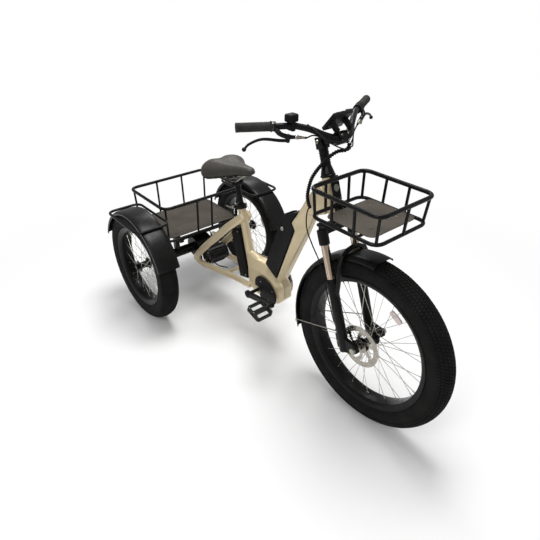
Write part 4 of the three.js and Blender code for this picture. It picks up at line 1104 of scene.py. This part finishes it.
# ---- fork ----
class ForkOperator(bpy.types.Operator):
    """Builds the crown, stanchions, lowers, axle and brake caliper"""

    bl_idname = "tricycle.fork"
    bl_label = "Fork"

    def execute(self, context):
        done(cast("fork_crown_forged", 0.0015, 6, "fork_crown"), "fork", "black_paint", "fork_crown")
        up = on_steering(0, 0, 1) - on_steering(0, 0, 0)
        for side, hand in SIDES:
            low, high = on_steering(side * 80, 0, -560), on_steering(side * 80, 0, -210)
            done(rod(f"stanchion_tube_{hand}", low, high, 0.016, 56), "fork", "stanchion_chrome",
                 f"stanchion_{hand}")
            knob = [(0, 0), (0, 0.0155), (0.002, 0.0165), (0.007, 0.0165), (0.009, 0.0145), (0.0095, 0.008),
                    (0.012, 0.007), (0.0125, 0)]
            done(turned(f"crown_knob_{hand}", knob, on_steering(side * 80, 0, -171), up, 40), "fork",
                 "black_plastic")
            seal = [(0, 0.0163), (0, 0.0222), (0.006, 0.0228), (0.011, 0.0215), (0.016, 0.0190),
                    (0.018, 0.0163)]
            done(turned(f"stanchion_seal_{hand}", seal, on_steering(side * 80, 0, -399), up, 48,
                        closed=True),
                 "fork_lowers", "black_plastic")
        done(cast("fork_lowers_cast", 0.0018, 6, "fork_lowers"), "fork_lowers", "black_paint",
             "fork_lowers")
        done(cast("front_axle_nuts", 0.0009, 2, "front_axle"), "fork_lowers", "bare_steel", "front_axle")
        done(softened("front_caliper_body", 0.0022, "front_caliper"), "fork_lowers", "black_paint",
             "front_caliper")
        sideways = Vector((-1, 0, 0))
        bolts("front_caliper_bolts", "fork_lowers", [
            (on_steering(-66, 30, z), sideways) for z in (-684, -640)]
            + [(on_steering(-84, 28, -652), sideways)], 0.0036)
        return {"FINISHED"}


# ---- handlebar and controls ----
GRIP_INNER = (-208, -868, 1184)
GRIP_OUTER = (-327, -804, 1186)
LEVER_PIVOT = (-184, -904, 1153)


def along_bar(distance, side=-1):
    """A point on the axis of a grip, measured outward from the grip's inner end."""
    inner, outer = Vector(GRIP_INNER), Vector(GRIP_OUTER)
    point = inner + (outer - inner).normalized() * distance
    return at(-side * point.x, point.y, point.z)


def bar_points():
    centre = on_steering(0, -95, 124)
    half = [centre, centre - Vector((0.032, 0, 0)), at(-72, -952, 1152), at(-108, -928, 1170),
            along_bar(-64)]
    right = [along_bar(126), *reversed(curve_through(half, 28))]
    left = [Vector((-point.x, point.y, point.z)) for point in reversed(right[:-1])]
    return right + left


def flip(side, x, y, z):
    """A point given for the right side, set on either side."""
    return at(-side * x, y, z)


def grip_profile(ribs):
    """A ribbed rubber sleeve with a flanged inner end and a capped outer end."""
    profile = [(0.015, 0.0113), (0.015, 0.0170), (0.0165, 0.0180), (0.019, 0.0180), (0.0205, 0.0162)]
    start, end = 0.022, 0.128
    for k in range(ribs):
        base = start + (end - start) * k / ribs
        pitch = (end - start) / ribs
        profile += [(base, 0.0146), (base + 0.22 * pitch, 0.0158), (base + 0.68 * pitch, 0.0158),
                    (base + 0.9 * pitch, 0.0146)]
    return profile + [(0.1285, 0.0150), (0.130, 0.0162), (0.134, 0.0162), (0.1358, 0.0148), (0.1362, 0.006),
                      (0.1362, 0)]


class CockpitOperator(bpy.types.Operator):
    """Builds the stem, bar, grips, levers, throttle, control box and display"""

    bl_idname = "tricycle.cockpit"
    bl_label = "Handlebar and controls"

    def execute(self, context):
        sizes = context.scene.tricycle_sizes
        sideways = Vector((1, 0, 0))
        forward = on_steering(0, -1, 0) - on_steering(0, 0, 0)
        done(cast("stem_riser_fluted", 0.0011, 5, "stem_riser"), "fork", "black_paint", "stem_riser")
        done(cast("stem_arm_forged", 0.0011, 6, "stem_arm"), "fork", "black_paint", "stem_arm")
        rings = [([on_steering(18.3 * math.cos(a), 18.3 * math.sin(a), z)
                   for a in np.linspace(0, 2 * math.pi, 40)[:-1]], 0.0012, True)
                 for z in (42, 52, 62, 72, 82, 92)]
        done(pipes("stem_riser_ribs", rings, 8), "fork", "black_paint")
        pivots = [(on_steering(side * 22.4, 0, 124), sideways * side) for side in (-1, 1)]
        bolts("stem_pivot_bolts", "fork", pivots, 0.0078)
        clamp = [(on_steering(x, -95 - 21.5, 124 + z), forward) for x in (-16, 16) for z in (-11, 11)]
        bolts("stem_clamp_bolts", "fork", clamp, 0.0040)
        points = bar_points()
        girths = []
        for point in points:
            t = min(max((abs(point.x) - 0.034) / 0.042, 0), 1)
            girths.append(0.0159 - 0.0049 * t * t * (3 - 2 * t))
        done(pipes("handlebar_tube", [(points, girths, False)], 36), "fork", "black_paint", "handlebar")
        for side, hand in SIDES:
            direction = along_bar(1, side) - along_bar(0, side)
            start = along_bar(0, side)
            grip = turned(f"grip_ribbed_{hand}", grip_profile(sizes.grip_ribs), start, direction, 40,
                          crease=50)
            done(grip, "fork", "grip_rubber", f"grip_{hand}")
            collar = turned(f"grip_collar_{hand}",
                            [(0.0144, 0.0112), (0.0144, 0.0150), (0.0135, 0.0162), (0.0095, 0.0162),
                             (0.0085, 0.0150), (0.0085, 0.0112)],
                            start + direction.normalized() * 0.0, direction, 40, closed=True)
            done(collar, "fork", "bare_steel")
            pivot, tip = flip(side, *LEVER_PIVOT), flip(side, -128, -934, 1146)
            way = (tip - pivot).normalized()
            horn = [along_bar(8, side) + Vector((0, -0.012, -0.008)), flip(side, -208, -892, 1163), pivot,
                    pivot + way * 0.022]
            body = pipes("horn", [(curve_through(horn, 14),
                                   [0.0088] * 4 + [0.0082] * 7 + [0.0076, 0.0070, 0.0064, 0.0058], False)],
                                   20)
            bracket = cast(f"lever_bracket_{hand}", 0.0010, 4, f"lever_mount_{hand}", extra=(body,))
            done(bracket, "fork", "black_paint", f"lever_mount_{hand}")
            barrel = [(0.022, 0), (0.022, 0.0062), (0.024, 0.0072), (0.033, 0.0072), (0.035, 0.0060),
                      (0.044, 0.0056),
                      (0.046, 0.0045), (0.056, 0.0042), (0.057, 0)]
            done(turned(f"lever_adjuster_{hand}", barrel, pivot, way, 24), "fork", "bare_steel")
            blade = [pivot + Vector((0, 0.004, -0.0135)), flip(side, -206, -884, 1140),
                     flip(side, -262, -860, 1149),
                     flip(side, -304, -846, 1138), flip(side, -322, -842, 1124)]
            line = curve_through(blade, 32)
            widths = [0.0058 - 0.0016 * k / 32 for k in range(33)]
            root = [pivot + Vector((0, 0.001, -0.0035)), pivot + Vector((0, 0.004, -0.0185))]
            lever = pipes(f"brake_lever_blade_{hand}", [(line, widths, False), (root, 0.0072, False)], 20)
            ball = turned("ball", [(-0.0075 * math.cos(math.pi * k / 12),
                                    0.0075 * math.sin(math.pi * k / 12)) for k in range(13)],
                          flip(side, -323, -841, 1122), Vector((1, 0, 0)), 24)
            done(merged(f"brake_lever_cast_{hand}", [lever, ball]), f"brake_lever_{hand}", "black_paint",
                 f"brake_lever_{hand}")
            bolts(f"lever_pivot_bolt_{hand}", "fork", [(pivot + Vector((0, 0, 0.0062)), Vector((0, 0, 1)))],
                  0.0040)
        x, y, z = (along_bar(-52) * 1000) - Vector((0, REAR_AXLE_Y, 0))
        case = [box_piece("case", x - 20, x + 20, y - 16.4, y + 17, z + 13, z + 40, 0.006),
                box_piece("strap", x - 8, x + 8, y - 15.5, y + 15.5, z - 16, z + 16, 0.004),
                box_piece("window", x - 17, x - 3, y - 17, y + 2, z + 18, z + 32, 0.001)]
        done(merged("control_box_case", case), "fork", "black_plastic", "control_box")
        done(softened("assist_button_cap", 0.0016, "assist_button"), "assist_button", "grip_rubber",
             "assist_button")
        done(cast("throttle_ring", 0.0009, 4, "throttle_housing"), "fork", "black_plastic",
             "throttle_housing")
        done(cast("thumb_throttle_paddle", 0.0009, 5, "thumb_throttle"), "thumb_throttle", "black_plastic",
             "thumb_throttle")
        done(softened("display_case", 0.0035, "display", segments=4), "fork", "black_plastic", "display")
        tilt = Matrix.Translation(at(0, -950, 1188)) @ Matrix.Rotation(-math.radians(50), 4, "X")

        def on_display(x, y, z):
            return tilt @ Vector((x / 1000, y / 1000, z / 1000))

        glass = box_piece("display_glass", -39, 39, -30, 33, 6, 7.6, 0.0006, on_display)
        done(glass, "fork", "black_plastic", material="screen_glass")
        keys = [box_piece("key", x - 8, x + 8, -37.5, -32.5, 6, 8.2, 0.0008, on_display)
                for x in (-22, 0, 22)]
        done(merged("display_keys", keys), "fork", "grip_rubber")
        return {"FINISHED"}


# ---- cables ----
HARNESS = ((14, -1003, 1116), (10, -996, 1094), (-4, -966, 1082), (-25, -944, 1058), (-36, -924, 1029),
           (-45, -902, 993), (-51, -888, 958), (-53, -878, 900), (-46, -880, 862), (-41, -886, 846))
BRAKE_CABLE = ((-56, -896, 866), (-74, -900, 830), (-98, -930, 790), (-110, -975, 745), (-112, -1020, 690),
               (-111, -1060, 600), (-106, -1087, 520), (-80, -1090, 440), (-63, -1096, 408))
BAR_CABLES = (
    ((-128, -934, 1146), (-105, -942, 1152), (-84, -960, 1144), (-66, -990, 1128), (-38, -1016, 1112),
     (-8, -1024, 1106), (10, -1008, 1110)),
    ((-112, -918, 1184), (-106, -950, 1170), (-92, -990, 1148), (-58, -1012, 1136), (-20, -1012, 1134),
     (8, -1004, 1124)),
    ((128, -934, 1146), (96, -948, 1128), (62, -976, 1112), (34, -1000, 1104), (12, -1010, 1106)),
    ((150, -900, 1172), (112, -932, 1156), (70, -968, 1140), (36, -996, 1128), (15, -1006, 1116)),
    ((-12, -958, 1168), (-18, -982, 1152), (-14, -1002, 1134), (4, -1006, 1118)),
)


def wrap_line(line, radius, turns):
    """A helix that winds round a line."""
    points = []
    steps = turns * 14
    reach = len(line) - 1
    side = Vector((1, 0, 0))
    for k in range(steps + 1):
        t = k / steps * reach
        i = min(int(t), reach - 1)
        centre = line[i].lerp(line[i + 1], t - i)
        way = (line[min(i + 2, reach)] - line[max(i - 1, 0)]).normalized()
        side = (side - way * side.dot(way)).normalized()
        other = way.cross(side)
        angle = 2 * math.pi * turns * k / steps
        points.append(centre + (side * math.cos(angle) + other * math.sin(angle)) * radius)
    return points


class CablesOperator(bpy.types.Operator):
    """Builds the wrapped cable harness, the cables from the bar and the front brake cable"""

    bl_idname = "tricycle.cables"
    bl_label = "Cables"

    def execute(self, context):
        line = curve_through([at(*point) for point in HARNESS], 80)
        harness = pipes("cable_harness_wrapped", [
            (line, 0.0056, False), (wrap_line(line, 0.0060, 34), 0.0019, False)], 10, 60, "black_plastic")
        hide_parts("cable_harness")
        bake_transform(harness)
        runs = [(curve_through([at(*point) for point in run], 36), 0.0025 if k != 1 else 0.0029, False)
                for k, run in enumerate(BAR_CABLES)]
        done(pipes("bar_cables", runs, 12, 60), "fork", "black_plastic")
        cable = curve_through([at(*point) for point in BRAKE_CABLE], 90)
        split = min(range(len(cable)), key=lambda k: (cable[k] - at(-112, -1020, 690)).length)
        upper = pipes("brake_cable_upper", [(cable[:split + 1], 0.0025, False)], 12, 60, "black_plastic")
        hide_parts("brake_cable")
        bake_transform(upper)
        lower = pipes("brake_cable_lower", [(cable[split:], 0.0025, False)], 12, 60, "black_plastic")
        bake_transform(lower)
        return {"FINISHED"}


# ---- saddle ----
SADDLE_STATIONS = (
    (-483, 6, 866, 853), (-478, 16, 872, 847), (-462, 24, 875, 842), (-435, 28, 875, 836),
    (-400, 37, 872, 828),
    (-350, 62, 868, 812), (-300, 97, 868, 795), (-262, 115, 868, 785), (-235, 113, 864, 784),
    (-216, 92, 857, 790),
    (-206, 60, 848, 798))


def saddle_ring(y, half, top, bottom, count=56):
    """One section: a crowned top with a shallow channel, full sides and a flat underside."""
    ring = []
    middle = bottom + 0.42 * (top - bottom)
    rear = min(max((y + 420) / 150, 0), 1)
    for k in range(count):
        angle = 2 * math.pi * k / count
        c, s = math.cos(angle), math.sin(angle)
        x = half * math.copysign(abs(c) ** 0.62, c)
        z = middle + (top - middle) * abs(s) ** 0.78 if s >= 0 else middle - (middle
            - bottom) * abs(s) ** 0.45
        if s > 0:
            z -= 5.5 * rear * math.exp(-(x / 17) ** 2) * s
            z += 3.0 * rear * math.exp(-((abs(x) - 0.52 * half) / (0.3 * half)) ** 2) * s
        ring.append((x, y, z))
    return ring


class SaddleOperator(bpy.types.Operator):
    """Builds the padded saddle, its piping, pan and rails, and the seatpost"""

    bl_idname = "tricycle.saddle"
    bl_label = "Saddle"

    def execute(self, context):
        guide = [Vector(station[:3]) for station in SADDLE_STATIONS]
        lows = [Vector((station[3], 0, 0)) for station in SADDLE_STATIONS]
        steps = 44
        rows = curve_through(guide, steps)
        reach = [0.0]
        for before, after in zip(guide, guide[1:]):
            reach.append(reach[-1] + abs(after.x - before.x))
        corners, faces, count = [], [], 56
        for row in rows:
            bottom = float(np.interp(row.x, [g.x for g in guide], [low.x for low in lows]))
            notch = 17 * min(max((row.x + 250) / 44, 0), 1)
            for x, y, z in saddle_ring(row.x, max(row.y, 4), row.z, bottom, count):
                corners.append(at(x, y - notch * math.exp(-(x / 20) ** 2), z))
        for r in range(steps):
            faces += [(r * count + k, r * count + (k + 1) % count, (r + 1) * count + (k + 1) % count,
                       (r + 1) * count + k)
                      for k in range(count)]
        faces += [tuple(range(count)), tuple(range(steps * count, (steps + 1) * count))]
        cover = from_faces("saddle_cover", corners, faces, 70)
        smooth = cover.modifiers.new("Smooth", "SMOOTH")
        smooth.factor = 0.5
        smooth.iterations = 3
        subdivision = cover.modifiers.new("Subdivision", "SUBSURF")
        subdivision.levels = subdivision.render_levels = 1
        bake(cover, 60)
        done(cover, "seat", "saddle_vinyl", "saddle")
        welt = []
        for side in (-1, 1):
            edge = []
            for row in rows[2:]:
                bottom = float(np.interp(row.x, [g.x for g in guide], [low.x for low in lows]))
                edge.append(at(side * row.y * 0.985, row.x, bottom + 0.36 * (row.z - bottom)))
            welt.append((edge, 0.0016, False))
        done(pipes("saddle_welt", welt, 8), "seat", "saddle_vinyl")
        pan = []
        for row in rows[4:-1]:
            bottom = float(np.interp(row.x, [g.x for g in guide], [low.x for low in lows]))
            pan.append([at(row.y * 0.86 * math.cos(a), row.x, bottom + 2.5 - 7 * max(math.sin(-a), 0))
                        for a in np.linspace(0, 2 * math.pi, 29)[:-1]])
        pan_faces = [(r * 28 + k, r * 28 + (k + 1) % 28, (r + 1) * 28 + (k + 1) % 28, (r + 1) * 28 + k)
                     for r in range(len(pan) - 1) for k in range(28)]
        pan_faces += [tuple(range(28)), tuple(range((len(pan) - 1) * 28, len(pan) * 28))]
        done(from_faces("saddle_pan", [point for ring in pan for point in ring], pan_faces, 50), "seat",
             "black_plastic")
        rails = []
        for side in (-1, 1):
            run = [at(side * 8, -440, 836), at(side * 16, -412, 815), at(side * 21, -385, 793),
                   at(side * 22, -350, 786),
                   at(side * 22, -312, 785), at(side * 30, -280, 786), at(side * 44, -248, 790)]
            rails.append((curve_through(run, 30), 0.0035, False))
        done(pipes("saddle_rails", rails, 14, material="bare_steel"), "seat", "bare_steel")
        post = turned("seatpost_tube", rod_profile(0.277, 0.0135), on_seat_line(0, 0, -165),
                      on_seat_line(0, 0, 1) - on_seat_line(0, 0, 0), 48)
        head = box_piece("head", -24, 24, -20, 18, 97, 116, 0.004, on_seat_line)
        bolt = rod("bolt", on_seat_line(-30, -1, 107), on_seat_line(30, -1, 107), 0.0055, 24)
        done(merged("seatpost_clamped", [post, head, bolt]), "seat", "black_paint", "seatpost")
        return {"FINISHED"}


# ---- stage ----
CAMERA_PLACE = Vector((-1.2760, -1.4386, 1.6366))
CAMERA_YAW, CAMERA_PITCH, CAMERA_ROLL = 0.7126008, 0.5603136, 0.0123228
CAMERA_LENS = 32.42
ROOM_LIGHT = 0.42
LAMPS = (("overhead", (0.3, 0.2, 3.6), 92, 1.6), ("key", (-2.6, -1.2, 3.0), 30, 1.0),
         ("rear", (1.8, 2.8, 3.0), 24, 1.2))


class StageOperator(bpy.types.Operator):
    """Builds the pale floor, the studio lights and the camera"""

    bl_idname = "tricycle.stage"
    bl_label = "Stage"

    def execute(self, context):
        floor = from_faces("floor", [(-9, -9, 0), (9, -9, 0), (9, 9, 0), (-9, 9, 0)], [(0, 1, 2, 3)])
        paper = bpy.data.materials.new("paper")
        paper.use_nodes = True
        nodes, links = paper.node_tree.nodes, paper.node_tree.links
        shader = nodes["Principled BSDF"]
        shader.inputs["Base Color"].default_value = (0.93, 0.93, 0.93, 1)
        shader.inputs["Roughness"].default_value = 0.9
        shader.inputs["Specular IOR Level"].default_value = 0.1
        reach = nodes.new("ShaderNodeVectorMath")
        reach.operation = "LENGTH"
        links.new(nodes.new("ShaderNodeTexCoord").outputs["Object"], reach.inputs[0])
        edge = nodes.new("ShaderNodeMapRange")
        edge.interpolation_type = "SMOOTHSTEP"
        edge.inputs["From Min"].default_value = 0.9
        edge.inputs["From Max"].default_value = 2.4
        links.new(reach.outputs["Value"], edge.inputs["Value"])
        seen = nodes.new("ShaderNodeLightPath")
        share = nodes.new("ShaderNodeMath")
        share.operation = "MULTIPLY"
        links.new(edge.outputs["Result"], share.inputs[0])
        links.new(seen.outputs["Is Camera Ray"], share.inputs[1])
        glow = nodes.new("ShaderNodeEmission")
        blend = nodes.new("ShaderNodeMixShader")
        links.new(share.outputs["Value"], blend.inputs["Fac"])
        links.new(shader.outputs["BSDF"], blend.inputs[1])
        links.new(glow.outputs["Emission"], blend.inputs[2])
        links.new(blend.outputs["Shader"], nodes["Material Output"].inputs["Surface"])
        floor.data.materials.append(paper)
        world = bpy.data.worlds.new("studio")
        world.use_nodes = True
        nodes, links = world.node_tree.nodes, world.node_tree.links
        room = nodes["Background"]
        room.inputs["Color"].default_value = (1, 1, 1, 1)
        strength = nodes.new("ShaderNodeMapRange")
        strength.inputs["To Min"].default_value = ROOM_LIGHT
        strength.inputs["To Max"].default_value = 1
        links.new(nodes.new("ShaderNodeLightPath").outputs["Is Camera Ray"], strength.inputs["Value"])
        links.new(strength.outputs["Result"], room.inputs["Strength"])
        context.scene.world = world
        for name, place, power, size in LAMPS:
            lamp = bpy.data.lights.new(name, "AREA")
            lamp.energy = power
            lamp.size = size
            obj = link(name, lamp)
            obj.location = place
            obj.rotation_euler = (Vector((0, 0, 0.5)) - Vector(place)).to_track_quat("-Z", "Y").to_euler()
        camera = bpy.data.cameras.new("camera")
        camera.lens = CAMERA_LENS
        camera.sensor_width = 36
        obj = link("camera", camera)
        forward = Vector((math.cos(CAMERA_PITCH) * math.sin(CAMERA_YAW),
                          math.cos(CAMERA_PITCH) * math.cos(CAMERA_YAW), -math.sin(CAMERA_PITCH)))
        right = forward.cross(Vector((0, 0, 1))).normalized()
        up = right.cross(forward)
        across = right * math.cos(CAMERA_ROLL) + up * math.sin(CAMERA_ROLL)
        above = up * math.cos(CAMERA_ROLL) - right * math.sin(CAMERA_ROLL)
        turn = Matrix((across, above, -forward)).transposed().to_4x4()
        obj.matrix_world = Matrix.Translation(CAMERA_PLACE) @ turn
        context.scene.camera = obj
        context.scene.view_settings.view_transform = "Standard"
        return {"FINISHED"}


BUILDERS = (WheelsOperator, FrameOperator, BatteryOperator, DriveOperator, CarriersOperator, ForkOperator,
            CockpitOperator, CablesOperator, SaddleOperator, StageOperator)


class TRICYCLE_PT_panel(bpy.types.Panel):
    """Lists the tricycle's builders and sizes"""

    bl_label = "Adult tricycle"
    bl_space_type = "VIEW_3D"
    bl_region_type = "UI"
    bl_category = "Tricycle"

    def draw(self, context):
        for group in (context.scene.tricycle_sizes, context.scene.tricycle_colours):
            box = self.layout.box()
            for name in group.bl_rna.properties.keys():
                if name not in ("rna_type", "name"):
                    box.prop(group, name)
        for builder in BUILDERS:
            self.layout.operator(builder.bl_idname)


CLASSES = (TricycleSizes, TricycleColours, *BUILDERS, TRICYCLE_PT_panel)


def register():
    for cls in CLASSES:
        bpy.utils.register_class(cls)
    bpy.types.Scene.tricycle_sizes = PointerProperty(type=TricycleSizes)
    bpy.types.Scene.tricycle_colours = PointerProperty(type=TricycleColours)


def unregister():
    del bpy.types.Scene.tricycle_colours
    del bpy.types.Scene.tricycle_sizes
    for cls in reversed(CLASSES):
        bpy.utils.unregister_class(cls)


def main():
    """Builds every piece in order."""
    register()
    for builder in BUILDERS:
        group, name = builder.bl_idname.split(".")
        getattr(getattr(bpy.ops, group), name)()


if __name__ == "__main__":
    main()
